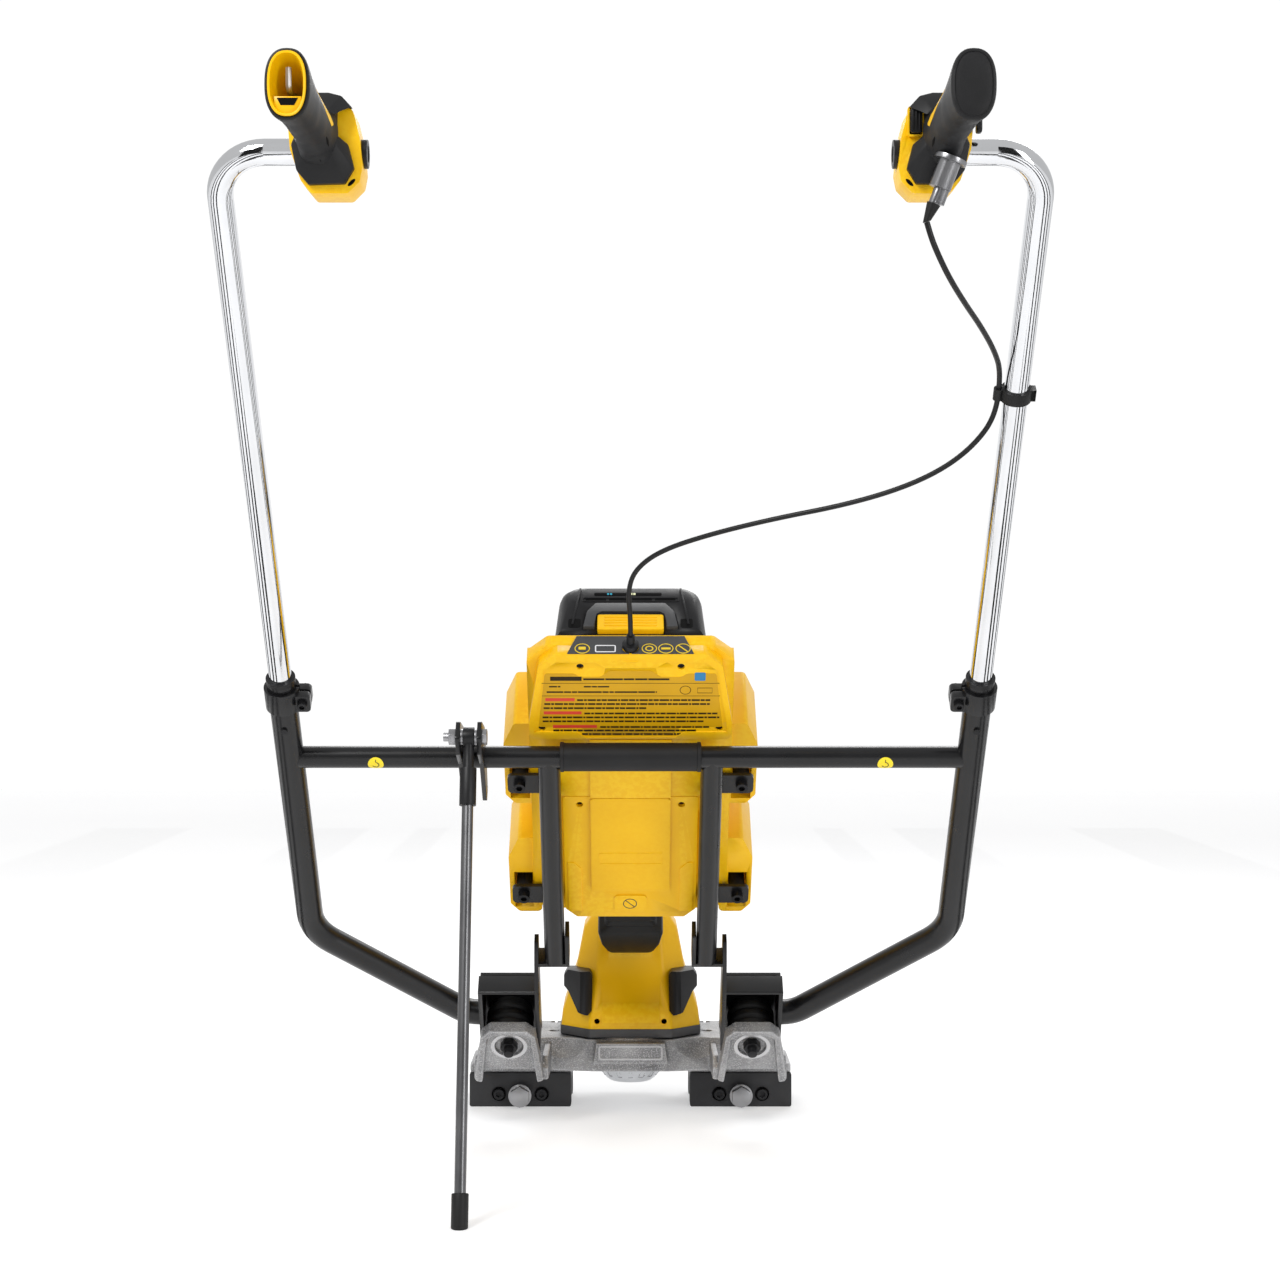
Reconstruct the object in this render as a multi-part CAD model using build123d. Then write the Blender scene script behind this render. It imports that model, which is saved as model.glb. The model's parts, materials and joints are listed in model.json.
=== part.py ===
from build123d import *
import math
import os

# Battery power screed: an aluminium vibrator base that clamps onto a board, a tubular frame
# that leans back to the operator, and a battery drive head hung between the frame's struts.
# X is to the operator's right, +Y points away from the operator, +Z is up. Millimetres.
# Fore-and-aft places count from the operator's side of the clamp blocks, and save() then moves
# every piece to an origin under the middle of the whole machine.

# ---- driving dimensions -------------------------------------------------------------------
ORIGIN_SHIFT_Y = 454.378
LEAN_DEG = 39.0             # the frame leans this far back from upright
FRAME_FOOT_Y = -37.0        # where the plane of the frame's tubes meets the ground
LOWER_TUBE_OD = 31.75
LOWER_TUBE_ID = 28.15
UPPER_TUBE_OD = 25.4
UPPER_TUBE_ID = 22.0
SIDE_TUBE_X = 390.0         # centre of each side tube from the middle
CROSSBAR_V = 628.6          # v is the distance up the leaning tubes, from the ground
COLLAR_V = 707.0            # bottom of the height-adjusting collars
HANDLE_TUBE_V = 1390.0      # the horizontal tube ends that carry the handles
STRUT_X = 93.5
STRUT_FOOT_V = 292.0
ISOLATOR_X = 153.0
ISOLATOR_V = 172.0
ISOLATOR_RADIUS = 30.0
BLOCK_X = 147.0             # middle of each clamp block
BLOCK_WIDTH = 135.5
BLOCK_HEIGHT = 45.0
BLOCK_DEPTH = 102.0
AXIS_Y = 40.0               # the vertical motor and vibrator axis
KICKSTAND_X = -181.0
RUNNING_GAP = 0.05          # radial clearance of shafts and pins

LEAN = math.radians(LEAN_DEG)
UP = Vector(0, -math.sin(LEAN), math.cos(LEAN))          # up along the tubes
BACK = Vector(0, -math.cos(LEAN), -math.sin(LEAN))       # square to them, towards the operator
# In the leaning frame a point is (x, v, t): across, up the tubes, and out towards the operator.
LEAN_PLANE = Plane(origin=(0, FRAME_FOOT_Y, 0), x_dir=(1, 0, 0), z_dir=BACK)


# ---- helpers ------------------------------------------------------------------------------
def block(x, y, z):
    """Box from three (low, high) pairs."""
    size = Box(x[1] - x[0], y[1] - y[0], z[1] - z[0])
    return Pos((x[0] + x[1]) / 2, (y[0] + y[1]) / 2, (z[0] + z[1]) / 2) * size


def rounded(x, y, z, radius, axis="Z"):
    """Box whose four edges along one axis are rounded."""
    shape = block(x, y, z)
    return fillet(shape.edges().filter_by({"X": Axis.X, "Y": Axis.Y, "Z": Axis.Z}[axis]), radius)


def rod(start, end, radius):
    """Round bar between two points."""
    along = Vector(*end) - Vector(*start)
    return extrude(Plane(origin=start, z_dir=along) * Circle(radius), along.length)


def pipe(start, end, outer, inner):
    """Round tube between two points."""
    return rod(start, end, outer) - rod(start, end, inner)


def hex_bar(start, end, across_flats):
    """Hexagonal bar between two points."""
    along = Vector(*end) - Vector(*start)
    face = Plane(origin=start, z_dir=along) * RegularPolygon(across_flats / math.sqrt(3), 6)
    return extrude(face, along.length)


def screw(head_top, into, head_radius, head_height, shank_radius, shank_length):
    """Socket-head screw: the top of its head, and the direction it goes in."""
    top = Vector(*head_top)
    down = Vector(*into).normalized()
    under = top + down * head_height
    body = rod(top, under, head_radius)
    body += rod(under, (under + down * shank_length), shank_radius)
    floor = top + down * head_height * 0.6
    return body - hex_bar(top, floor, head_radius)


def slab(points, low, high, plane=Plane.XY):
    """Closed outline on a plane, raised from low to high along its normal."""
    face = make_face(Polyline(*points, close=True))
    return extrude(plane.offset(low) * face, high - low)


def soft_slab(points, radius, low, high, plane=Plane.XY):
    """As slab(), with the outline's corners rounded."""
    face = make_face(Polyline(*points, close=True))
    face = fillet(face.vertices(), radius)
    return extrude(plane.offset(low) * face, high - low)


def lean(shape):
    """Place a piece made in the leaning frame's own (x, v, t)."""
    return LEAN_PLANE.location * shape


def frame_point(x, v, t):
    """The machine coordinates of a point of the leaning frame."""
    return Vector(x, FRAME_FOOT_Y, 0) + UP * v + BACK * t


def other_side(shape):
    """The same piece on the other side of the machine."""
    return mirror(shape, about=Plane.YZ)


def both(shape):
    """A left piece and its right-hand twin."""
    return [shape, other_side(shape)]


def solids_of(shapes):
    """All the solids in a list of shapes."""
    return [solid for shape in shapes for solid in shape.solids()]


def save(node, *shapes):
    """Write one node, moved to the machine's origin."""
    solids = [Pos(0, ORIGIN_SHIFT_Y, 0) * solid for solid in solids_of(shapes)]
    export_step(Compound(solids) if len(solids) > 1 else solids[0], f"parts/{node}.step")


os.makedirs("parts", exist_ok=True)

# ---- vibrator base: one rough aluminium casting -------------------------------------------
HUB_RADIUS = 97.0
HUB_FLOOR_Z = 57.0
HUB_TOP_Z = 101.0
CAVITY_RADIUS = 40.0
CAVITY_FLOOR_Z = 71.0
BEARING_RADIUS = 20.0
SHAFT_RADIUS = 8.0
SEAT_FRONT_T = 36.0          # operator's side of the plate under each isolator
SEAT_BACK_T = 26.0
SKIRT_FRONT_T = 44.0
STUD_RADIUS = 6.0


def lobe():
    """Arched hood with the isolator's seat plate inside, made in (x, v, t) on the left."""
    outer = [(-199, 112), (-187, 196), (-176, 207), (-130, 207), (-119, 196), (-110, 112)]
    inner = [(-189.5, 100), (-180, 192), (-172, 199.5), (-134, 199.5), (-126, 192), (-118, 100)]
    skirt = soft_slab(outer, 6, SEAT_BACK_T, SKIRT_FRONT_T) - slab(inner, 0, 60)
    seat = slab([(-184, 128), (-180, 193), (-172, 200), (-134, 200), (-126, 193), (-122, 128)],
                SEAT_BACK_T, SEAT_FRONT_T)
    counterbore = Pos(ISOLATOR_X * -1, ISOLATOR_V, SEAT_FRONT_T) * Cylinder(18, 10)
    hole = Pos(-ISOLATOR_X, ISOLATOR_V, SEAT_BACK_T) * Cylinder(STUD_RADIUS, 40)
    return lean(skirt + seat - counterbore - hole)


def web():
    """Body that sweeps from the hub out to both wings, hollowed on its rear corners."""
    right = [(50, -56), (84, -50), (122, -42), (150, -22), (198, 2), (198, 96), (60, 96), (40, 137)]
    left = [(-x, y) for x, y in reversed(right)]
    shape = soft_slab(right + left, 5, HUB_FLOOR_Z, HUB_TOP_Z - 2)
    for side in (-1, 1):
        shape -= Pos(side * 96, -86, 106) * Sphere(50)
    return shape


def side_arm():
    """Pad over the clamp block with two fins that carry the lobe, on the left."""
    pad = block((-214, -78), (2, 100), (BLOCK_HEIGHT, HUB_FLOOR_Z + 1))
    floor_y = -143.0
    side_view = [(floor_y, 77), (floor_y + 6, 62), (20, HUB_FLOOR_Z - 5), (60, HUB_FLOOR_Z - 5),
                 (60, 88), (-40, 92), (-128, 92)]
    fins = [slab(side_view, low, low + 7.5, Plane.YZ) for low in (-199, -112.5)]
    return pad + fins[0] + fins[1]


def weight_saver():
    """Open-topped pocket in the left wing."""
    return slab([(-126, -20), (-186, 14), (-186, 84), (-126, 84)], HUB_FLOOR_Z + 4, HUB_TOP_Z + 1)


def base_casting():
    """Hub, wings, isolator lobes and the vibrator's cavity."""
    hub = Pos(0, AXIS_Y, (HUB_FLOOR_Z + HUB_TOP_Z) / 2) * Cylinder(HUB_RADIUS, HUB_TOP_Z - HUB_FLOOR_Z)
    apron = slab([(-49, 70), (-45, 97), (45, 97), (49, 70)], 40, 72, Plane.XZ)
    shape = hub + web() + apron
    for half in both(side_arm()):
        shape += half
    for pocket in both(weight_saver()):
        shape -= pocket
    for half in both(lobe()):
        shape += half
    low_boss = Pos(0, AXIS_Y, 54) * Cylinder(58, 8)
    shape += low_boss
    shape -= Pos(0, AXIS_Y, (CAVITY_FLOOR_Z + HUB_TOP_Z) / 2) * Cylinder(CAVITY_RADIUS, HUB_TOP_Z - CAVITY_FLOOR_Z)
    shape -= Pos(0, AXIS_Y, 60) * Cylinder(BEARING_RADIUS, 60)
    for x in (-BLOCK_X - 45, -BLOCK_X + 45):
        for y in (16, 88):
            hole = Pos(x, y, 50) * Cylinder(4.5, 60)
            hole += Pos(x, y, HUB_FLOOR_Z + 30) * Cylinder(6.7, 60)
            shape -= hole
            shape -= other_side(hole)
    return shape


# ---- clamp blocks: an inverted channel that drops over the board ---------------------------
REAR_JAW_DEPTH = 26.0
SLOT_FRONT_Y = 80.0
BRIDGE_Z = 33.0
PAD_DEPTH = 8.0
CLAMP_TRAVEL = 12.0
BOLT_Z = 17.0
GUIDE_SPACING = 28.5
JAW_REST_GAP = 0.3


def clamp_block():
    """Left block: rear jaw, bridge and front jaw in one, drilled for the clamp bolt."""
    low, high = -BLOCK_X - BLOCK_WIDTH / 2, -BLOCK_X + BLOCK_WIDTH / 2
    shape = rounded((low, high), (0, BLOCK_DEPTH), (0, BLOCK_HEIGHT), 3, "Y")
    shape -= block((low - 1, high + 1), (REAR_JAW_DEPTH, SLOT_FRONT_Y), (-1, BRIDGE_Z))
    shape -= Pos(-BLOCK_X, 0, BOLT_Z) * Rot(90, 0, 0) * Cylinder(8 + RUNNING_GAP, 120)
    shape += block((low, high), (SLOT_FRONT_Y, BLOCK_DEPTH), (4, BLOCK_HEIGHT - 4))
    for side in (-1, 1):
        x = -BLOCK_X + side * GUIDE_SPACING
        shape -= rod((x, -1, BOLT_Z), (x, 14, BOLT_Z), 9.5)
        shape -= rod((x, 0, BOLT_Z), (x, REAR_JAW_DEPTH + 1, BOLT_Z), 4 + RUNNING_GAP)
        for y in (16, 88):
            shape -= Pos(-BLOCK_X + side * 45, y, BLOCK_HEIGHT) * Cylinder(4, 32)
    return shape


def clamp_pad():
    """Pressure plate that the left clamp bolt drives against the board."""
    shape = rounded((-BLOCK_X - 52, -BLOCK_X + 52), (REAR_JAW_DEPTH + JAW_REST_GAP,
                    REAR_JAW_DEPTH + JAW_REST_GAP + PAD_DEPTH), (2, BRIDGE_Z - 1), 3, "Y")
    for side in (-1, 1):
        x = -BLOCK_X + side * GUIDE_SPACING
        shape -= rod((x, 0, BOLT_Z), (x, 33, BOLT_Z), 4)
    return shape - rod((-BLOCK_X, 0, BOLT_Z), (-BLOCK_X, 32, BOLT_Z), 8)


def clamp_bolt():
    """Flanged hexagon bolt that drives the left pad."""
    shape = rod((-BLOCK_X, -CLAMP_TRAVEL - 3, BOLT_Z), (-BLOCK_X, -CLAMP_TRAVEL, BOLT_Z), 15.3)
    shape += rod((-BLOCK_X, -CLAMP_TRAVEL, BOLT_Z), (-BLOCK_X, 32, BOLT_Z), 8)
    return shape + hex_bar((-BLOCK_X, -CLAMP_TRAVEL - 13, BOLT_Z), (-BLOCK_X, -CLAMP_TRAVEL - 3, BOLT_Z), 24)


def guide_screws():
    """Two shoulder screws that keep the left pad square; their heads slide in counterbores."""
    shapes = []
    for side in (-1, 1):
        x = -BLOCK_X + side * GUIDE_SPACING
        shapes.append(screw((x, -6, BOLT_Z), (0, 1, 0), 7, 8, 4, 31))
    return shapes


def clamp_mount_screws():
    """Screws that hold both blocks under the casting's pads."""
    shapes = []
    for side in (-1, 1):
        for y in (16, 88):
            top = (-BLOCK_X + side * 45, y, HUB_FLOOR_Z + 8)
            shapes += both(screw(top, (0, 0, -1), 6.5, 8, 4, 25))
    return shapes


# ---- motor and vibrator, on one vertical axis ----------------------------------------------
ADAPTOR_TOP_Z = 112.0
HOUSING_TOP_Z = 262.0


def octagon(half, corner, y=AXIS_Y):
    """Eight-sided outline: a square of this half width with its corners cut back."""
    h, c = half, half - corner
    return [(-h, y - c), (-c, y - h), (c, y - h), (h, y - c), (h, y + c), (c, y + h), (-c, y + h), (-h, y + c)]


def tapered(sections):
    """Loft through (z, half width, corner cut, corner rounding) outlines."""
    faces = []
    for z, half, corner, radius in sections:
        face = make_face(Polyline(*octagon(half, corner), close=True))
        faces.append(Plane.XY.offset(z) * fillet(face.vertices(), radius))
    return loft(faces, ruled=True)


def adaptor_plate():
    """Plate between casting and motor housing, with the middle bearing's seat."""
    shape = soft_slab(octagon(93, 38), 8, HUB_TOP_Z, ADAPTOR_TOP_Z)
    shape -= Pos(0, AXIS_Y, 105) * Cylinder(BEARING_RADIUS, 40)
    for x in (-66, 66):
        for y in (-66, 66):
            shape -= Pos(x, AXIS_Y + y, 105) * Cylinder(3.5, 40)
    return shape


def motor_bell():
    """Outside of the motor housing, solid, with its raised rear panel."""
    outer = tapered([(ADAPTOR_TOP_Z, 92, 38, 8), (132, 90, 37, 8), (188, 72, 28, 10), (240, 62, 22, 12),
                     (HOUSING_TOP_Z, 48, 18, 12)])
    panel = slab([(-54, 120), (-36, 122), (-26, 152), (-30, 208), (-46, 250), (20, 250), (20, 120)],
                 -29, 29, Plane.YZ)
    shelf = slab([(-54, 120), (-46, 146), (0, 146), (0, 120)], -38, 38, Plane.YZ)
    return outer + panel + shelf


def motor_housing():
    """Yellow moulded bell over the motor."""
    inner = tapered([(ADAPTOR_TOP_Z - 1, 88, 36, 6), (132, 86, 35, 6), (188, 68, 26, 8), (236, 58, 20, 10),
                     (HOUSING_TOP_Z - 4, 45, 17, 10)])
    shape = motor_bell() - inner
    boss = Pos(0, AXIS_Y, 240) * Cylinder(26, 40)
    shape += boss
    shape -= Pos(0, AXIS_Y, 228) * Cylinder(BEARING_RADIUS, 20)
    for x in (-44, 44):
        shape -= rod((x, -60, 122), (x, -44, 122), 3.6)
    shape -= block((-22, 22), (-60, 0), (214, 244))
    return shape


def bumper():
    """Left rubber guard that stands out from the motor housing's rear corner."""
    seen_from_rear = [(-88, 180), (-83, 188), (-54, 188), (-50, 183), (-51, 136), (-56, 130), (-69, 134), (-82, 160),
                      (-88, 166)]
    seen_from_above = [(-51, -20), (-50, -50), (-60, -57), (-66, -56), (-89, -28), (-89, 2), (-70, 2)]
    shape = soft_slab(seen_from_rear, 2, -6, 62, Plane.XZ) & slab(seen_from_above, 126, 192)
    return shape - tapered([(ADAPTOR_TOP_Z, 92.3, 38, 8), (132, 90.3, 37, 8), (188, 72.3, 28, 10),
                            (240, 62.3, 22, 12)]) - block((-39, 39), (-60, 0), (110, 260))


def stator():
    """Wound stator ring pressed into the housing."""
    shape = Pos(0, AXIS_Y, 180) * Cylinder(52, 56)
    shape -= Pos(0, AXIS_Y, 180) * Cylinder(33, 60)
    for turn in range(12):
        slot = Pos(0, AXIS_Y, 0) * Rot(0, 0, turn * 30) * block((36, 47), (-3, 3), (140, 220))
        shape -= slot
    return shape


def stator_carrier():
    """Ring that holds the stator against the adaptor plate."""
    return Pos(0, AXIS_Y, (ADAPTOR_TOP_Z + 152) / 2) * (Cylinder(52, 152 - ADAPTOR_TOP_Z) - Cylinder(44, 60))


def rotor():
    """Rotor core on its shaft."""
    return Pos(0, AXIS_Y, 180) * (Cylinder(32, 54) - Cylinder(SHAFT_RADIUS, 60))


def shaft():
    """Vertical shaft through three bearings."""
    return rod((0, AXIS_Y, 50), (0, AXIS_Y, 236), SHAFT_RADIUS)


def eccentric_weight():
    """Half-round weight that makes the vibration."""
    disc = Pos(0, AXIS_Y, 86) * Cylinder(36, 24)
    disc -= block((-50, 50), (AXIS_Y + 12, AXIS_Y + 60), (60, 110))
    return disc - rod((0, AXIS_Y, 50), (0, AXIS_Y, 110), SHAFT_RADIUS)


def bearings():
    """Ball bearings at the base, in the adaptor plate and at the top."""
    places = [(HUB_FLOOR_Z, HUB_FLOOR_Z + 12), (HUB_TOP_Z, HUB_TOP_Z + 11), (224, 236)]
    return [pipe((0, AXIS_Y, low), (0, AXIS_Y, high), BEARING_RADIUS, SHAFT_RADIUS + RUNNING_GAP)
            for low, high in places]


def vibrator_cap():
    """Chromed conical cap under the base, with windows round its wall."""
    outer = [(0, 30), (28.5, 30), (33, 33), (46, 48), (48.5, 50), (0, 50)]
    inner = [(0, 36), (28, 36), (40, 50), (0, 50)]
    shape = revolve(Plane.XZ * make_face(Polyline(*outer, close=True)), Axis.Z)
    shape -= revolve(Plane.XZ * make_face(Polyline(*inner, close=True)), Axis.Z)
    for turn in range(16):
        window = Rot(0, 0, turn * 22.5) * Pos(40.5, 0, 40) * Rot(0, 40, 0) * Box(4, 6, 9)
        shape -= window
    return Pos(0, AXIS_Y, 0) * shape


def adaptor_bolts():
    """Bolts at the adaptor plate's corners."""
    return [screw((x, AXIS_Y + y, HUB_TOP_Z + 10.9), (0, 0, -1), 3.4, 4, 3.4, 6.9) for x in (-66, 66) for y in (-66, 66)]


# ---- isolators and the frame's feet --------------------------------------------------------
BRACKET_SHEET = 5.0
BRACKET_BACK_T = -30.0
ISOLATOR_TOP_T = BRACKET_BACK_T + BRACKET_SHEET


def isolator():
    """Left rubber bellows between the casting's seat and the frame bracket."""
    length = SEAT_BACK_T - ISOLATOR_TOP_T
    r = ISOLATOR_RADIUS
    outline = [(0, 0), (r - 3, 0), (r - 3, 6), (r, 9), (r, 16), (r - 5, 20), (r, 24), (r, 31), (r - 5, 35),
               (r, 39), (r - 2, length), (0, length)]
    shape = revolve(Plane.XZ * make_face(Polyline(*outline, close=True)), Axis.Z)
    shape -= Pos(0, 0, 0) * Cylinder(STUD_RADIUS, 36)
    shape -= Pos(0, 0, length) * Cylinder(STUD_RADIUS, 36)
    return lean(Pos(-ISOLATOR_X, ISOLATOR_V, ISOLATOR_TOP_T) * shape)


def isolator_fasteners():
    """Studs out of both ends of the left isolator, with their nuts."""
    x, v = -ISOLATOR_X, ISOLATOR_V
    low_stud = rod((x, v, 8), (x, v, 50), STUD_RADIUS)
    low_nut = hex_bar((x, v, 31), (x, v, 41), 19) - rod((x, v, 20), (x, v, 60), STUD_RADIUS)
    top_stud = rod((x, v, -7), (x, v, -48), STUD_RADIUS)
    top_nut = hex_bar((x, v, BRACKET_BACK_T), (x, v, BRACKET_BACK_T - 10), 19)
    top_nut -= rod((x, v, 0), (x, v, -80), STUD_RADIUS)
    return [lean(piece) for piece in (low_stud, low_nut, top_stud, top_nut)]


def frame_bracket():
    """Left welded steel bracket: a box over the isolator and a cradle under the strut."""
    sheet = BRACKET_SHEET
    left, right = -189.5, -114.0
    back = block((left, right), (138, 258), (BRACKET_BACK_T, ISOLATOR_TOP_T))
    roof = rounded((left, right), (258 - sheet, 258), (BRACKET_BACK_T, 24), 2, "X")
    outer = rounded((left, left + sheet), (160, 258), (BRACKET_BACK_T, 24), 2, "X")
    side_view = [(150, BRACKET_BACK_T), (306, BRACKET_BACK_T), (314, -22), (314, -8), (296, 8), (262, 24), (150, 24)]
    inner = slab(side_view, right - sheet, right, Plane.YZ)
    cradle = block((right - sheet, -76), (STRUT_FOOT_V - sheet, STRUT_FOOT_V), (-20, 8))
    wall = rounded((-80.5, -75.5), (STRUT_FOOT_V - sheet, 340), (-20, 8), 2, "X")
    shape = back + roof + outer - block((left - 1, right - sheet), (236, 260), (-40, -4))
    shape += inner + cradle + wall
    shape -= rod((-ISOLATOR_X, ISOLATOR_V, -80), (-ISOLATOR_X, ISOLATOR_V, 0), STUD_RADIUS)
    return lean(shape)


# ---- frame: side tubes, crossbar and struts ------------------------------------------------
LOWER_TUBE_TOP_V = 742.0
BRACKET_OUTER_X = -189.5
STEP_OUT_X = -205.0          # where the tube turns level before it meets the bracket
TUBE_END_V = 196.0


def lower_tube():
    """Left side tube: straight, then bent in to the bracket."""
    x = -SIDE_TUBE_X
    path = FilletPolyline((x, LOWER_TUBE_TOP_V), (x, 345), (-206, TUBE_END_V), (BRACKET_OUTER_X, TUBE_END_V),
                          radius=[62, 40])
    start = Plane(origin=path @ 0, z_dir=path % 0)
    section = start * (Circle(LOWER_TUBE_OD / 2) - Circle(LOWER_TUBE_ID / 2))
    return lean(sweep(section, path=path))


def crossbar():
    """Straight tube welded between the side tubes."""
    shape = pipe((-SIDE_TUBE_X, CROSSBAR_V, 0), (SIDE_TUBE_X, CROSSBAR_V, 0), UPPER_TUBE_OD / 2, UPPER_TUBE_ID / 2)
    for side in (-1, 1):
        shape -= rod((side * SIDE_TUBE_X, 500, 0), (side * SIDE_TUBE_X, 700, 0), LOWER_TUBE_OD / 2)
    return lean(shape)


def crossbar_grip():
    """Rubber carrying grip on the middle of the crossbar."""
    shape = pipe((-80.8, CROSSBAR_V, 0), (80.8, CROSSBAR_V, 0), 16.5, UPPER_TUBE_OD / 2)
    for side in (-1, 1):
        shape += pipe((side * 80.8, CROSSBAR_V, 0), (side * 76, CROSSBAR_V, 0), 17.5, UPPER_TUBE_OD / 2)
    return lean(shape)


def strut():
    """Left strut from the crossbar to its bracket's cradle."""
    shape = pipe((-STRUT_X, STRUT_FOOT_V, 0), (-STRUT_X, CROSSBAR_V, 0), UPPER_TUBE_OD / 2, UPPER_TUBE_ID / 2)
    return lean(shape - rod((-200, CROSSBAR_V, 0), (200, CROSSBAR_V, 0), UPPER_TUBE_OD / 2))


# ---- telescoping upper tubes and their collars ---------------------------------------------
UPPER_TUBE_FOOT_V = 560.0
HANDLE_TUBE_X = 262.0        # inner end of the horizontal tube
TOP_BEND_RADIUS = 47.0
LINER_WALL = (LOWER_TUBE_ID - UPPER_TUBE_OD) / 2


def upper_tube():
    """Left chromed tube that slides in the lower one and carries the handle."""
    x = -SIDE_TUBE_X
    path = FilletPolyline((x, UPPER_TUBE_FOOT_V), (x, HANDLE_TUBE_V), (-HANDLE_TUBE_X, HANDLE_TUBE_V),
                          radius=TOP_BEND_RADIUS)
    start = Plane(origin=path @ 0, z_dir=path % 0)
    section = start * (Circle(UPPER_TUBE_OD / 2) - Circle(UPPER_TUBE_ID / 2))
    return lean(sweep(section, path=path))


def liner():
    """Left plastic bush in the mouth of the lower tube, with a lip on top."""
    x = -SIDE_TUBE_X
    bore = UPPER_TUBE_OD / 2 + RUNNING_GAP
    shape = pipe((x, 690, 0), (x, LOWER_TUBE_TOP_V, 0), LOWER_TUBE_ID / 2, bore)
    return lean(shape + pipe((x, LOWER_TUBE_TOP_V, 0), (x, LOWER_TUBE_TOP_V + 6, 0), 16.5, bore))


def collar():
    """Left split clamp ring round the top of the lower tube, with two ears."""
    x = -SIDE_TUBE_X
    shape = pipe((x, COLLAR_V, 0), (x, COLLAR_V + 28, 0), 20, LOWER_TUBE_OD / 2)
    ears = block((x + 12, x + 32), (COLLAR_V, COLLAR_V + 22), (-12, 12))
    ears -= rod((x, 600, 0), (x, 800, 0), LOWER_TUBE_OD / 2)
    shape += fillet(ears.edges().filter_by(Axis.Z).sort_by(Axis.X)[-2:], 5)
    shape -= block((x + 10, x + 40), (COLLAR_V - 1, COLLAR_V + 40), (-1.5, 1.5))
    return lean(shape - rod((x + 23, COLLAR_V + 11, -30), (x + 23, COLLAR_V + 11, 30), 3))


def collar_fasteners():
    """Left collar's screw and nut."""
    x, v = -SIDE_TUBE_X + 23, COLLAR_V + 11
    bolt = screw((x, v, 18), (0, 0, -1), 5.5, 6, 3, 34)
    nut = hex_bar((x, v, -12), (x, v, -17), 10) - rod((x, v, -30), (x, v, 0), 3)
    return [lean(bolt), lean(nut)]


def depth_screw():
    """Left set screw in the lower tube below its collar."""
    x = -SIDE_TUBE_X
    return lean(rod((x, 682, LOWER_TUBE_OD / 2 + 0.02), (x, 682, LOWER_TUBE_OD / 2 + 2.5), 4))


# ---- kickstand ------------------------------------------------------------------------------
PIVOT_V = 687.0
PIVOT_T = 31.7
LEG_TILT_DEG = 15.5          # the leg leans this far from upright
LEG_LENGTH = 533.0
LEG_ROD_RADIUS = 6.35
PLATE_GAP = 19.0
PLATE_SHEET = 5.0

leg_turn = math.radians(LEG_TILT_DEG)
LEG_DOWN = Vector(0, -math.sin(leg_turn), -math.cos(leg_turn))
PIVOT = frame_point(KICKSTAND_X, PIVOT_V, PIVOT_T)


def kickstand_plates():
    """Two steel ears welded across the crossbar, with the stop that the leg rests on."""
    outline = [(566, -16), (566, 8), (640, 24), (672, 45), (696, 45), (700, 20), (660, -16)]
    shapes = []
    for side in (-1, 1):
        inner = KICKSTAND_X + side * PLATE_GAP / 2
        low = min(inner, inner + side * PLATE_SHEET)
        plate = soft_slab(outline, 5, low, low + PLATE_SHEET, Plane.YZ)
        plate -= rod((-300, CROSSBAR_V, 0), (-100, CROSSBAR_V, 0), UPPER_TUBE_OD / 2)
        plate -= rod((-300, PIVOT_V, PIVOT_T), (-100, PIVOT_V, PIVOT_T), 5)
        shapes.append(lean(plate))
    low, high = KICKSTAND_X - PLATE_GAP / 2, KICKSTAND_X + PLATE_GAP / 2
    shapes.append(lean(rod((low, 654, 8), (high, 654, 8), 4)))
    return shapes


def kickstand_bolt():
    """Pivot bolt with its nut; the leg's eye turns on it."""
    x, v, t = KICKSTAND_X, PIVOT_V, PIVOT_T
    outer = PLATE_GAP / 2 + PLATE_SHEET
    shape = rod((x - outer - 14, v, t), (x + outer, v, t), 5)
    head = hex_bar((x + outer, v, t), (x + outer + 6, v, t), 16)
    nut = hex_bar((x - outer - 8, v, t), (x - outer, v, t), 16) - rod((x - 60, v, t), (x, v, t), 5)
    return [lean(shape + head), lean(nut)]


def kickstand_spacers():
    """Plastic washers each side of the leg's eye."""
    x, v, t = KICKSTAND_X, PIVOT_V, PIVOT_T
    return [lean(pipe((x + side * PLATE_GAP / 2, v, t), (x + side * 6.3, v, t), 9, 5.1)) for side in (-1, 1)]


def leg_point(distance):
    """A point on the leg's centre line."""
    return PIVOT + LEG_DOWN * distance


def kickstand_socket():
    """Moulded eye and socket at the top of the leg."""
    across = Vector(6, 0, 0)
    shape = rod(PIVOT - across, PIVOT + across, 11)
    shape += rod(leg_point(4), leg_point(45), 6)
    shape += rod(leg_point(36), leg_point(78), 9.35)
    shape -= rod(PIVOT - across * 2, PIVOT + across * 2, 5 + RUNNING_GAP)
    return shape - rod(leg_point(48), leg_point(90), LEG_ROD_RADIUS)


def kickstand_rod():
    """Steel leg."""
    return rod(leg_point(48), leg_point(LEG_LENGTH - 8), LEG_ROD_RADIUS)


def kickstand_foot():
    """Rubber ferrule on the end of the leg, cut level where it stands."""
    shape = rod(leg_point(LEG_LENGTH - 36), leg_point(LEG_LENGTH + 6), 9.25)
    shape -= rod(leg_point(LEG_LENGTH - 60), leg_point(LEG_LENGTH - 8), LEG_ROD_RADIUS)
    return shape - block((-400, 400), (-900, 0), (-60, 0))


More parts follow.
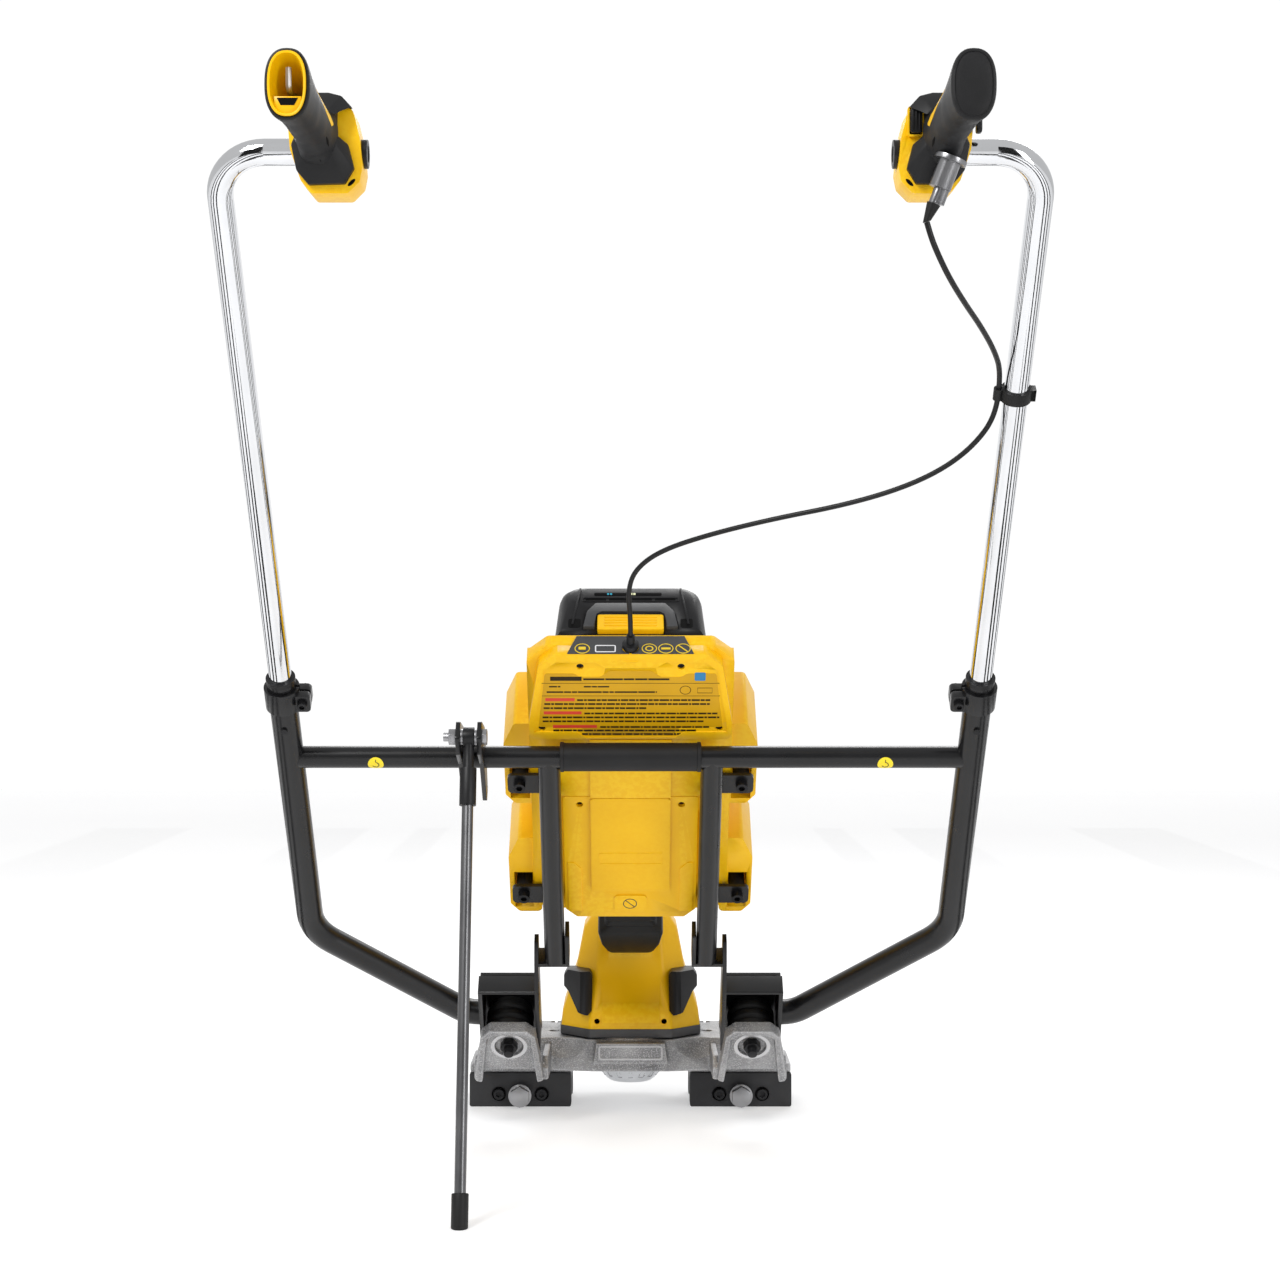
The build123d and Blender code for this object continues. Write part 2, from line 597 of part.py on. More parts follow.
# ---- drive head: housing, covers and electronics, made in (x, v, t) --------------------------
HEAD_BACK_T = -46.0          # joint between the shell and its rear covers
HEAD_FRONT_T = -150.0
HEAD_FOOT_V = 336.0
HEAD_TOP_V = 756.0
HEAD_HALF = 118.0
BAY_FLOOR_V = 560.0
BAY_HALF = 88.6
BAY_WALL_T = -64.0
WALL = 3.0
GLAND_TOP_V = 775.2
EAR_VS = (552.0, 368.0)      # heights of the four rubber mounts
EAR_X = 126.0
PANEL_HALF = 47.5
COVER_HALF = 82.0
COVER_FRONT_T = -33.0
PANEL_FRONT_T = -29.0


def head_shell():
    """Main yellow moulding: lower motor-drive box, battery bay and four ears."""
    outline = [(-HEAD_HALF, 350), (-104, HEAD_FOOT_V), (104, HEAD_FOOT_V), (HEAD_HALF, 350), (HEAD_HALF, 735),
               (94, HEAD_TOP_V), (-94, HEAD_TOP_V), (-HEAD_HALF, 735)]
    shape = soft_slab(outline, 8, HEAD_FRONT_T, HEAD_BACK_T)
    shape += block((-COVER_HALF, COVER_HALF), (537, 627), (HEAD_BACK_T, COVER_FRONT_T))
    shape += block((-PANEL_HALF, PANEL_HALF), (537, 627), (HEAD_BACK_T, PANEL_FRONT_T))
    for v in EAR_VS:
        outline = [(-149, v - 30), (-149, v + 50), (-136, v + 82), (-110, v + 82), (-110, v - 44), (-138, v - 44)]
        ear = soft_slab(outline, 6, -146, -52)
        ear -= block((-143, -120), (v - 36, v + 24), (-92, -40))
        shape += both(ear)[0]
        shape += both(ear)[1]
    shape -= block((-BAY_HALF, BAY_HALF), (BAY_FLOOR_V, 800), (-200, BAY_WALL_T))
    shape -= block((-HEAD_HALF + WALL, HEAD_HALF - WALL), (HEAD_FOOT_V + WALL, BAY_FLOOR_V - WALL),
                   (HEAD_FRONT_T + WALL, HEAD_BACK_T - 4))
    shape -= block((-74, 74), (HEAD_FOOT_V + WALL, 531), (HEAD_BACK_T - 10, 0))
    shape -= block((-96, 96), (636, 738), (BAY_WALL_T + WALL, 0))
    for v in EAR_VS:
        for side in (-1, 1):
            shape += block((side * 115 - 5, side * 115 + 5), (v - 42, v + 30), (-96, -56))
            shape -= rod((side * EAR_X, v, -130), (side * EAR_X, v, 0), 4)
    shape -= block((-26, 26), (HEAD_FOOT_V - 1, HEAD_FOOT_V + WALL + 1), (-118, -74))
    shape -= block((-30, 30), (BAY_FLOOR_V - 5, BAY_FLOOR_V + 1), (-120, -84))
    shape -= rod((0, HEAD_TOP_V - 30, -40), (0, HEAD_TOP_V + 10, -40), 9) & block((-20, 20), (700, 800), (-64, -46))
    above_bay = slab(level_cut(HEAD_TOP_V, BAY_WALL_T), -HEAD_HALF - 40, HEAD_HALF + 40, Plane.YZ)
    above_body = slab(level_cut(HEAD_TOP_V - 18, BAY_WALL_T), 92, HEAD_HALF + 40, Plane.YZ)
    return lean(shape - above_bay - above_body - other_side(above_body))


def level_cut(v, t):
    """Side outline of what lies above a level plane through this height, forward of t."""
    drop = math.tan(LEAN)
    return [(v, t), (v + 90, t), (v + 90, t - 120), (v - 120 * drop, t - 120)]


def label_cover():
    """Sloping-sided upper rear cover with a recessed face."""
    outline = [(-117, 629), (117, 629), (117, 652), (104, 738), (86, HEAD_TOP_V), (-86, HEAD_TOP_V), (-104, 738),
               (-117, 652)]
    shape = soft_slab(outline, 9, HEAD_BACK_T, -30)
    recess = [(-111, 640), (-62, 640), (-52, 632), (52, 632), (62, 640), (111, 640), (110, 655), (98, 732),
              (84, 744), (40, 744), (28, 736), (-28, 736), (-40, 744), (-84, 744), (-98, 732), (-110, 655)]
    shape -= slab(recess, -31.5, 0)
    shape -= soft_slab([(-105, 640), (105, 640), (92, 733), (-92, 733)], 6, -60, -34.5)
    for x, v in ((-57, 737), (57, 737), (-102, 645), (102, 645)):
        shape += rod((x, v, HEAD_BACK_T), (x, v, -34), 5.5)
        shape -= rod((x, v, -60), (x, v, -20), 2)
        shape -= rod((x, v, -36), (x, v, -20), 4.2)
    return lean(shape - rod((0, HEAD_TOP_V - 30, -40), (0, HEAD_TOP_V + 10, -40), 8))


def lower_cover():
    """Lower rear cover with its raised middle panel."""
    outline = [(-80, 348), (-66, 334), (66, 334), (80, 348), (80, 536), (-80, 536)]
    shape = soft_slab(outline, 4, HEAD_BACK_T, COVER_FRONT_T)
    shape += soft_slab([(-PANEL_HALF, 382), (PANEL_HALF, 382), (PANEL_HALF, 536), (-PANEL_HALF, 536)], 5,
                       COVER_FRONT_T, PANEL_FRONT_T)
    shape += soft_slab([(-20, 343), (20, 343), (20, 372), (-20, 372)], 6, COVER_FRONT_T, -31.5)
    shape -= soft_slab([(-70, 350), (70, 350), (70, 516), (-70, 516)], 5, -60, -36.5)
    for side in (-1, 1):
        shape -= rod((side * 60.5, 523, -60), (side * 60.5, 523, -20), 2)
        shape -= rod((side * 60.5, 523, -40), (side * 60.5, 523, -20), 4.2)
        emboss = [(side * 60, 345), (side * 76, 345), (side * 76, 428), (side * 69, 428), (side * 60, 418)]
        shape += slab(emboss, COVER_FRONT_T, -31.5)
    return lean(shape)


def symbol_panel():
    """Dark printed plate on top of the head."""
    outline = [(-71, -30.5), (71, -30.5), (61, -61), (-61, -61)]
    plate = make_face(Polyline(*[(x, HEAD_TOP_V, t) for x, t in outline], close=True))
    shape = extrude(plate, 1.5, dir=(0, 1, 0))
    return lean(shape - rod((0, 700, -40), (0, 800, -40), 9.6))


def cable_gland():
    """Moulded strain relief where the cable leaves the head."""
    shape = rod((0, HEAD_TOP_V - 14, -40), (0, HEAD_TOP_V + 4, -40), 7.9)
    shape += rod((0, HEAD_TOP_V + 3, -40), (0, HEAD_TOP_V + 8, -40), 9.3)
    shape += rod((0, HEAD_TOP_V + 7, -40), (0, GLAND_TOP_V, -40), 4.6)
    return lean(shape)


def ear_mount():
    """One rubber mount of the left ears, in its pocket."""
    return [lean(rod((-EAR_X - 5, v, -92), (-EAR_X - 5, v, -42), 10) - rod((-EAR_X - 5, v, -100), (-EAR_X - 5, v, 0), 4))
            for v in EAR_VS]


def strut_arms():
    """Steel tabs welded to the left strut that hold its two rubber mounts."""
    shapes = []
    for v in EAR_VS:
        tab = rounded((-145, -88), (v - 14, v + 14), (-42, -37), 6, "Z")
        tab += block((-104, -83), (v - 10, v + 10), (-40, 0))
        tab -= rod((-STRUT_X, 200, 0), (-STRUT_X, 700, 0), UPPER_TUBE_OD / 2)
        tab -= block((-120, -60), (v - 20, v + 20), (-9, 20))
        shapes.append(lean(tab - rod((-EAR_X - 5, v, -80), (-EAR_X - 5, v, 0), 4)))
    return shapes


def ear_screws():
    """Screws through the left tabs into the rubber mounts."""
    x = -EAR_X - 5
    return [lean(screw((x, v, -29), (0, 0, -1), 7, 8, 4, 40)) for v in EAR_VS]


def cover_screws():
    """Small screws that hold the two rear covers."""
    shapes = [lean(screw((x, v, -34.2), (0, 0, -1), 4, 1.8, 1.9, 9)) for x, v in
              ((-57, 737), (57, 737), (-102, 645), (102, 645))]
    return shapes + [lean(screw((side * 60.5, 523, -38.2), (0, 0, -1), 4, 1.8, 1.9, 5)) for side in (-1, 1)]


def control_board():
    """Circuit board behind the label cover, with a few parts on it."""
    shape = block((-70, 70), (645, 725), (-58, -56.4))
    for x in (-45, -15, 20, 48):
        shape += block((x - 9, x + 9), (668, 690), (-56.4, -50))
    return lean(shape)


def motor_controller():
    """Finned power module low in the head."""
    shape = block((-58, 58), (390, 500), (-120, -96))
    for fin in range(9):
        x = -52 + fin * 13
        shape += block((x - 1.5, x + 1.5), (390, 500), (-96, -72))
    return lean(shape)


def controller_posts():
    """Posts that carry the power module off the shell's front wall."""
    return [lean(rod((x, v, HEAD_FRONT_T + WALL), (x, v, -120), 4)) for x in (-50, 50) for v in (398, 492)]


def motor_boot():
    """Rubber bellows that carries the motor's leads from the head to the motor."""
    start = frame_point(0, HEAD_FOOT_V + 8, -96)
    end = Vector(0, -40, 226)
    along = end - start
    sections = []
    count = 9
    for step in range(count):
        share = step / (count - 1)
        swell = 1.0 if step % 2 == 0 or step > 5 else 0.86
        plane = Plane(origin=start + along * share, x_dir=(1, 0, 0), z_dir=along)
        width, depth = 78 - 22 * share, 40 - 8 * share
        sections.append(plane * RectangleRounded(width * swell, depth * swell, 6))
    shape = loft(sections, ruled=True) - lean(block((-80, 80), (HEAD_FOOT_V, 400), (-180, 0)))
    return shape - motor_bell() - block((-30, 30), (-30, 60), (150, 260))


# ---- battery -------------------------------------------------------------------------------
BATTERY_FOOT_V = 560.3
BATTERY_END_T = -162.0
BATTERY_BACK_T = -66.0
LATCH_TRAVEL = 4.0


def battery_outline(inset):
    """Cross-section across (x, t): narrower and rounded on the far side."""
    points = [(-88 + inset, BATTERY_BACK_T - inset), (-82 + inset, BATTERY_END_T + inset),
              (82 - inset, BATTERY_END_T + inset), (88 - inset, BATTERY_BACK_T - inset)]
    face = make_face(Polyline(*points, close=True))
    far = face.vertices().sort_by(Axis.Y)[:2]
    face = fillet(far, 22 - inset)
    return fillet(face.vertices().sort_by(Axis.Y)[-2:], 6 - inset)


def upright(face, low, high):
    """Raise an (x, t) outline from one height v to another."""
    plane = Plane(origin=(0, low, 0), x_dir=(1, 0, 0), z_dir=(0, -1, 0))
    return extrude(plane * face, -(high - low))


def battery_case():
    """Battery pack's hollow case, with the latch's pocket in its end."""
    shape = upright(battery_outline(0), BATTERY_FOOT_V, HEAD_TOP_V)
    shape -= upright(battery_outline(3), BATTERY_FOOT_V + 3, HEAD_TOP_V - 26)
    shape -= block((-38.4, 38.4), (HEAD_TOP_V - 20, HEAD_TOP_V + 5), (-100, -72))
    shape += block((-53, 53), (HEAD_TOP_V, HEAD_TOP_V + 5), (-116, -103))
    for side in (-1, 1):
        shape += block((side * 46 - 7, side * 46 + 7), (HEAD_TOP_V, HEAD_TOP_V + 5), (-104, -72))
    for x in (-24, -8, 8, 24):
        shape -= block((x - 2, x + 2), (BATTERY_FOOT_V - 1, BATTERY_FOOT_V + 5), (-116, -88))
    return lean(shape)


def battery_cells():
    """Round cells in two columns."""
    cells = []
    for column in (-1, 1):
        for row in range(6):
            for layer in range(4):
                v = BATTERY_FOOT_V + 22 + row * 23
                t = BATTERY_BACK_T - 13.7 - layer * 21.4
                cells.append(lean(rod((column * 1.2, v, t), (column * 71.2, v, t), 10.4)))
    return cells


def battery_latch():
    """Ribbed yellow release button in the battery's end."""
    shape = rounded((-38, 38), (HEAD_TOP_V - 14, HEAD_TOP_V + 3), (-99.5, -72.5), 3, "Y")
    for rib in range(4):
        t = -78 - rib * 5
        shape -= block((-30, 30), (HEAD_TOP_V + 1.5, HEAD_TOP_V + 4), (t - 1.2, t + 1.2))
    return lean(shape)


def battery_terminal():
    """Terminal block in the bay's floor, with four blades up into the battery."""
    shape = block((-30, 30), (BAY_FLOOR_V - 5, BAY_FLOOR_V), (-120, -84))
    for x in (-24, -8, 8, 24):
        shape += block((x - 1, x + 1), (BAY_FLOOR_V - 1, BAY_FLOOR_V + 4), (-112, -92))
    return lean(shape)


# ---- handles -------------------------------------------------------------------------------
HANDLE_CENTRE = frame_point(0, HANDLE_TUBE_V, 0)
BODY_BACK_Y = HANDLE_CENTRE.Y + 28
BODY_SPLIT_Y = HANDLE_CENTRE.Y - 18
BODY_FRONT_Y = HANDLE_CENTRE.Y - 33
GRIP_END_Y = HANDLE_CENTRE.Y - 130
BODY_OUTLINE = [(-280, 50), (-268, 47), (-258, 34), (-252, 10), (-249.5, -18), (-252, -31), (-263, -42),
                (-297, -42), (-307, -30), (-317, -1), (-319, 23), (-312, 40), (-300, 50)]

OVERMOULD_OUTLINE = [(-280, 50), (-268, 47), (-258, 36), (-272, 39), (-273, 11), (-262, 2), (-256.5, -20),
                     (-265, -34), (-299, -35), (-310, -22), (-315, 2), (-311, 11), (-318, 22), (-312, 40),
                     (-300, 50)]


def body_outline():
    """Handle body's outline about the tube's axis, at its real height."""
    return [(x, HANDLE_CENTRE.Z + z) for x, z in BODY_OUTLINE]


def facing_operator(points, radius, near, far):
    """Rounded (x, z) outline between two fore-and-aft places."""
    return soft_slab(points, radius, -far, -near, Plane.XZ)


def handle_shell():
    """Yellow shell of the left handle body, clamped on the tube's end."""
    shape = facing_operator(body_outline(), 5, BODY_SPLIT_Y, BODY_BACK_Y)
    y, z = HANDLE_CENTRE.Y, HANDLE_CENTRE.Z
    return shape - rod((-400, y, z), (-HANDLE_TUBE_X, y, z), UPPER_TUBE_OD / 2 + RUNNING_GAP)


def oval(x, y, z, width, height, radius):
    """Rounded section across the grip."""
    return Plane(origin=(x, y, z), x_dir=(1, 0, 0), z_dir=(0, -1, 0)) * RectangleRounded(width, height, radius)


def grip():
    """Black overmoulded front of the left handle and its hand grip."""
    z = HANDLE_CENTRE.Z
    front = [(x, z + dz) for x, dz in OVERMOULD_OUTLINE]
    shape = facing_operator(front, 2.5, BODY_FRONT_Y, BODY_SPLIT_Y)
    sections = [oval(-289, BODY_FRONT_Y + 2, z + 8, 36, 52, 15), oval(-293, BODY_FRONT_Y - 30, z + 15, 34, 44, 15),
                oval(-299, GRIP_END_Y + 24, z + 27, 34, 48, 15), oval(-302, GRIP_END_Y + 4, z + 32, 39, 68, 17)]
    return shape + loft(sections, ruled=False)


def grip_hollow(grow):
    """Space down the middle of the left grip."""
    z = HANDLE_CENTRE.Z
    sections = [oval(-291, BODY_FRONT_Y - 20, z + 13, 16 + grow, 22 + grow, 6),
                oval(-299, GRIP_END_Y + 24, z + 27, 18 + grow, 30 + grow, 7),
                oval(-302, GRIP_END_Y - 8, z + 32, 24 + grow, 50 + grow, 9)]
    return loft(sections, ruled=False)


def grip_end(hollow):
    """Lip on the end of the grip."""
    z = HANDLE_CENTRE.Z
    shape = loft([oval(-302, GRIP_END_Y + 4, z + 32, 38, 67, 16), oval(-303, GRIP_END_Y - 4, z + 33.5, 35, 64, 15)])
    return shape - grip_hollow(0) if hollow else shape


def handle_cap():
    """Round black cap on the inner side of the left handle, in line with the tube."""
    y, z = HANDLE_CENTRE.Y, HANDLE_CENTRE.Z
    shape = rod((-256, y, z - 2), (-246, y, z - 2), 13.5) - rod((-247, y, z - 2), (-245, y, z - 2), 8)
    return shape - facing_operator(body_outline(), 5, BODY_SPLIT_Y, BODY_BACK_Y)


def hex_key():
    """Clamp key kept in the left grip: long leg inside, short leg showing."""
    z = HANDLE_CENTRE.Z
    inner, elbow = Vector(-295.5, BODY_FRONT_Y - 28, z + 17), Vector(-302, GRIP_END_Y + 4, z + 21)
    shape = rod(inner, elbow, 3)
    return shape + rod(elbow - Vector(0, 0, 3), elbow + Vector(0, 0, 27), 3)


TRIGGER_TRAVEL = 4.0
TRIGGER_Y = BODY_SPLIT_Y - 9
BUTTON_Y = BODY_SPLIT_Y - 4
BUTTON_Z = HANDLE_CENTRE.Z + 25


def trigger():
    """Thumb trigger on the inner face of the right handle, with an end rib."""
    z = HANDLE_CENTRE.Z
    shape = rounded((259, 270.5), (TRIGGER_Y, BODY_SPLIT_Y - 0.5), (z + 12, z + 36), 3, "Y")
    return shape + rod((264.7, BODY_SPLIT_Y - 1, z + 24), (264.7, BODY_SPLIT_Y + 6, z + 24), 3)


def power_button():
    """Push button on the outer side of the right handle."""
    y, z = BUTTON_Y, BUTTON_Z
    button = rounded((321, 326), (y - 6.5, y + 6.5), (z - 12, z + 12), 4, "X")
    return button + rod((308, y, z), (322, y, z), 3)


def right_handle_shell():
    """Right shell: the left one mirrored, with the trigger's pocket and guide hole."""
    z = HANDLE_CENTRE.Z
    shape = other_side(handle_shell())
    shape -= block((258.5, 271), (BODY_SPLIT_Y - 1, BODY_SPLIT_Y + TRIGGER_TRAVEL + 0.5), (z + 11.5, z + 36.5))
    return shape - rod((264.7, BODY_SPLIT_Y - 1, z + 24), (264.7, BODY_SPLIT_Y + 12, z + 24), 3 + RUNNING_GAP)


def right_grip():
    """Right overmould and grip, with the button's hole and its closed end cap."""
    shape = other_side(grip()) - rod((304, BUTTON_Y, BUTTON_Z), (340, BUTTON_Y, BUTTON_Z), 3 + RUNNING_GAP)
    return [shape, other_side(grip_end(hollow=False)) - other_side(grip())]


# ---- switch cable: plug, strain reliefs, clip and the two cord lengths ------------------------
CORD_RADIUS = 2.75
CORD_GAP = 0.2
CLIP_V = 1122.0
CLIP_X = 372.0
PLUG_TOP = Vector(295, BODY_FRONT_Y - 11, HANDLE_CENTRE.Z - 14)
PLUG_FOOT = Vector(273, -950, 1008)
# Route of the cable from the head up to the clip on the right tube, and on to the handle's plug.
CABLE_LOWER = [(0, -494, 628), (0, -510, 648), (-3, -531, 677), (5, -552, 700), (33, -574, 720),
               (88, -600, 737), (155, -627, 752), (222, -651, 764), (278, -676, 779), (321, -697, 798),
               (352, -712, 822), (372, -727, 851), (372, -742.7, 871.4)]
CABLE_UPPER = [(372, -743.4, 872.3), (372, -759, 892), (360, -796, 908), (340, -840, 926), (318, -884, 942),
               (298, -922, 960), (285, -942, 978), (277, -949, 994), (273.1, -950, 1007.6)]


def plug_point(share):
    """A point along the plug, from its flange to its foot."""
    return PLUG_TOP + (PLUG_FOOT - PLUG_TOP) * share


def plug_body():
    """Cast metal connector body with its flange, screwed to the right handle."""
    shape = rod(plug_point(0), plug_point(0.07), 15.5) + rod(plug_point(0.05), plug_point(0.48), 10.3)
    tongue = plug_point(0.48) + Vector(3.5, 0, 0)
    shape += rod(tongue, tongue + (PLUG_FOOT - PLUG_TOP) * 0.24, 6.2)
    return shape - rod(plug_point(0.36), plug_point(0.8), 5.2) - other_side(grip())


def plug_latch():
    """Metal sleeve on the cable's plug."""
    return rod(plug_point(0.36), plug_point(0.72), 5.15)


def cable_boot():
    """Moulded strain relief behind the plug, tapering to the cable."""
    start, end = plug_point(0.72), PLUG_FOOT
    along = end - start
    wide = Plane(origin=start, z_dir=along) * Circle(6.5)
    leaving = Vector(*CABLE_UPPER[-2]) - Vector(*CABLE_UPPER[-1])
    narrow = Plane(origin=end, z_dir=leaving) * Circle(3.9)
    return loft([wide, narrow])


def cable_clip():
    """Strap clip round the right upper tube, with an eye for the cable."""
    low, high = CLIP_V - 6.5, CLIP_V + 6.5
    shape = pipe((SIDE_TUBE_X, low, 0), (SIDE_TUBE_X, high, 0), 15.7, UPPER_TUBE_OD / 2)
    shape += pipe((CLIP_X, low, 0), (CLIP_X, high, 0), 5.2, CORD_RADIUS + 0.3)
    shape += block((403, 409.5), (low, high), (-5, 5)) - rod((SIDE_TUBE_X, low, 0), (SIDE_TUBE_X, high, 0), 15)
    shape -= rod((SIDE_TUBE_X, low, 0), (SIDE_TUBE_X, high, 0), UPPER_TUBE_OD / 2)
    return lean(shape - rod((CLIP_X, low, 0), (CLIP_X, high, 0), CORD_RADIUS + 0.3))


def corner_radii(points):
    """Largest even arc that each corner's two runs leave room for."""
    radii = []
    for before, corner, after in zip(points, points[1:], points[2:]):
        run_in, run_out = Vector(*corner) - Vector(*before), Vector(*after) - Vector(*corner)
        half_turn = math.radians(run_in.get_angle(run_out)) / 2
        radii.append(0.45 * min(run_in.length, run_out.length) / math.tan(half_turn))
    return radii


def cord(name, points):
    """Cord along its route; prints its radii, length and how true its volume is."""
    radii = corner_radii(points)
    path = FilletPolyline(*points, radius=radii)
    shape = sweep(Plane(origin=path @ 0, z_dir=path % 0) * Circle(CORD_RADIUS), path=path)
    expected = math.pi * CORD_RADIUS ** 2 * path.length
    print(name, "length", round(path.length, 1), "smallest radius", round(min(radii), 1),
          "radii", [round(radius) for radius in radii], "volume ratio", round(shape.volume / expected, 4))
    return shape


# ---- write every node -----------------------------------------------------------------------
def twins(pieces):
    """Each piece of a left-hand group with its right-hand twin."""
    return [twin for piece in pieces for twin in both(piece)]


single_nodes = {
    "base_casting": base_casting, "adaptor_plate": adaptor_plate, "motor_housing": motor_housing,
    "rotor": rotor, "drive_shaft": shaft, "eccentric_weight": eccentric_weight, "vibrator_cap": vibrator_cap,
    "crossbar": crossbar, "crossbar_grip": crossbar_grip,
    "kickstand_socket": kickstand_socket, "kickstand_rod": kickstand_rod, "kickstand_foot": kickstand_foot,
    "head_shell": head_shell, "label_cover": label_cover, "lower_cover": lower_cover,
    "symbol_panel": symbol_panel, "cable_gland": cable_gland, "control_board": control_board,
    "motor_boot": motor_boot,
    "battery_case": battery_case, "battery_latch": battery_latch, "battery_terminal": battery_terminal,
    "left_handle_shell": handle_shell, "right_handle_shell": right_handle_shell,
    "left_handle_cap": handle_cap, "hex_key": hex_key, "speed_trigger": trigger,
    "power_button": power_button, "cable_boot": cable_boot, "cable_clip": cable_clip}
for name, maker in single_nodes.items():
    save(name, maker())

paired_nodes = {
    "clamp_blocks": clamp_block, "isolators": isolator, "frame_brackets": frame_bracket,
    "lower_tubes": lower_tube, "tube_liners": liner, "height_collars": collar, "bumpers": bumper}
for name, maker in paired_nodes.items():
    save(name, *both(maker()))

handed_nodes = {"upper_tube": [upper_tube()], "clamp_pad": [clamp_pad()],
                "clamp_screws": [clamp_bolt()] + guide_screws()}
for name, pieces in handed_nodes.items():
    save(f"left_{name}", *pieces)
    save(f"right_{name}", *[other_side(piece) for piece in pieces])

save("stator", stator(), stator_carrier())
save("bearings", *bearings())
save("struts", *twins([strut()] + strut_arms()))
save("frame_fasteners", *(twins(isolator_fasteners() + collar_fasteners() + [depth_screw()])
                         + clamp_mount_screws() + adaptor_bolts()))
save("kickstand_plates", *kickstand_plates())
save("kickstand_bolt", *(kickstand_bolt() + kickstand_spacers()))
save("ear_mounts", *twins(ear_mount()))
save("head_screws", *(twins(ear_screws()) + cover_screws()))
save("motor_controller", motor_controller(), *controller_posts())
save("battery_cells", *battery_cells())
save("left_grip", grip() - grip_hollow(3))
save("left_grip_liner", (grip_hollow(3) & grip()) - grip_hollow(0) + grip_end(hollow=True))
save("right_grip", *right_grip())
save("right_handle_cap", other_side(handle_cap()))
save("plug_body", plug_body(), plug_latch())
save("cable_lower", cord("cable_lower", CABLE_LOWER))
save("cable_upper", cord("cable_upper", CABLE_UPPER))
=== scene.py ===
import math

import bmesh
import bpy
import json
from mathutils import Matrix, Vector


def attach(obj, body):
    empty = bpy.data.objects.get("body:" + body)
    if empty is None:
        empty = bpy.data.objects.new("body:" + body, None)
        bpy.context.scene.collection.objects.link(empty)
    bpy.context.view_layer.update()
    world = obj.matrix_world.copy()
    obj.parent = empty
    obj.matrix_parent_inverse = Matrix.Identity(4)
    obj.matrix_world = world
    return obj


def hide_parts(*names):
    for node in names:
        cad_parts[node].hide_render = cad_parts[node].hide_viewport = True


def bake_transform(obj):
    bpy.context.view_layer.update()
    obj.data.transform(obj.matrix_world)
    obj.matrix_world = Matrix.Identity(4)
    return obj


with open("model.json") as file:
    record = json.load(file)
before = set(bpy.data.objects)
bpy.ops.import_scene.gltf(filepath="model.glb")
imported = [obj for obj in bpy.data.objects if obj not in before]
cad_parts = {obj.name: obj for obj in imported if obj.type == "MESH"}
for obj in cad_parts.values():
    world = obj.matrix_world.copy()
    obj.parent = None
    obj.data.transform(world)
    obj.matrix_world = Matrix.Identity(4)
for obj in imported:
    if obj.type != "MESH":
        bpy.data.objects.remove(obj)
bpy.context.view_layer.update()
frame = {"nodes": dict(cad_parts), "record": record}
scene = bpy.context.scene

# ---- studio: camera, pale floor and soft light -------------------------------------------------
# The operator's view: a level camera on the machine's centreline, as high as the middle of the
# frame. Dark cards and floor strips that only reflections see give the chrome its dark bands.
MM = 0.001
CAMERA_Y = -2.6156
CAMERA_Z = 0.6226
camera = bpy.data.objects.new("camera", bpy.data.cameras.new("camera"))
scene.collection.objects.link(camera)
camera.data.lens = 64.7
camera.data.sensor_width = 36.0
camera.data.shift_x = 0.0074
camera.location = (0, CAMERA_Y, CAMERA_Z)
camera.rotation_euler = (math.radians(90), 0, 0)
scene.camera = camera
scene.view_settings.view_transform = "Standard"


class Wire:
    """One socket of a material; sums written with it add their Math nodes."""

    def __init__(self, tree, socket=None):
        self.tree = tree
        self.socket = socket

    def make(self, kind, settings=(), sockets=(), out=0):
        """Add a node: its settings first, then its sockets' values or links."""
        node = self.tree.nodes.new("ShaderNode" + kind)
        for key, value in dict(settings).items():
            if key == "stops":
                for stop, (place, colour) in zip(node.color_ramp.elements, value):
                    stop.position = place
                    stop.color = colour
                for place, colour in value[2:]:
                    node.color_ramp.elements.new(place).color = colour
            else:
                setattr(node, key, value)
        for key, value in dict(sockets).items():
            if isinstance(value, Wire):
                self.tree.links.new(value.socket, node.inputs[key])
            else:
                node.inputs[key].default_value = value
        return Wire(self.tree, node.outputs[out])

    def maths(self, operation, first, second=0.0):
        return self.make("Math", {"operation": operation}, {0: first, 1: second})

    def __add__(self, other):
        return self.maths("ADD", self, other)

    def __sub__(self, other):
        return self.maths("SUBTRACT", self, other)

    def __rsub__(self, other):
        return self.maths("SUBTRACT", other, self)

    def __mul__(self, other):
        return self.maths("MULTIPLY", self, other)

    __radd__ = __add__
    __rmul__ = __mul__

    def above(self, level, width):
        """0 below level, 1 above it, with a soft step this wide."""
        return self.make("MapRange", {"interpolation_type": "SMOOTHSTEP"},
                         {"Value": self, "From Min": level - width / 2, "From Max": level + width / 2})


def finish(name, **fixed):
    """New material: returns it, a wire to add nodes with, and its Principled shader."""
    material = bpy.data.materials.new(name)
    material.use_nodes = True
    shader = material.node_tree.nodes["Principled BSDF"]
    for key, value in fixed.items():
        shader.inputs[key.replace("_", " ")].default_value = value
    return material, Wire(material.node_tree), shader


def connect(wire, shader, socket):
    """Lead a wire into one of the shader's sockets."""
    wire.tree.links.new(wire.socket, shader.inputs[socket])


def place_of(wire):
    """The piece's own coordinates, in metres."""
    return wire.make("TexCoord", out=3)


def noise(wire, scale, detail=3.0, roughness=0.55):
    """Fractal noise; scale is waves per metre."""
    return wire.make("TexNoise", {},
                     {"Vector": place_of(wire), "Scale": scale, "Detail": detail, "Roughness": roughness})


def tint(wire, mask, low, high):
    """Colour from low to high as the mask goes from 0 to 1."""
    return wire.make("Mix", {"data_type": "RGBA"}, {0: mask, 6: (*low, 1), 7: (*high, 1)}, out=2)


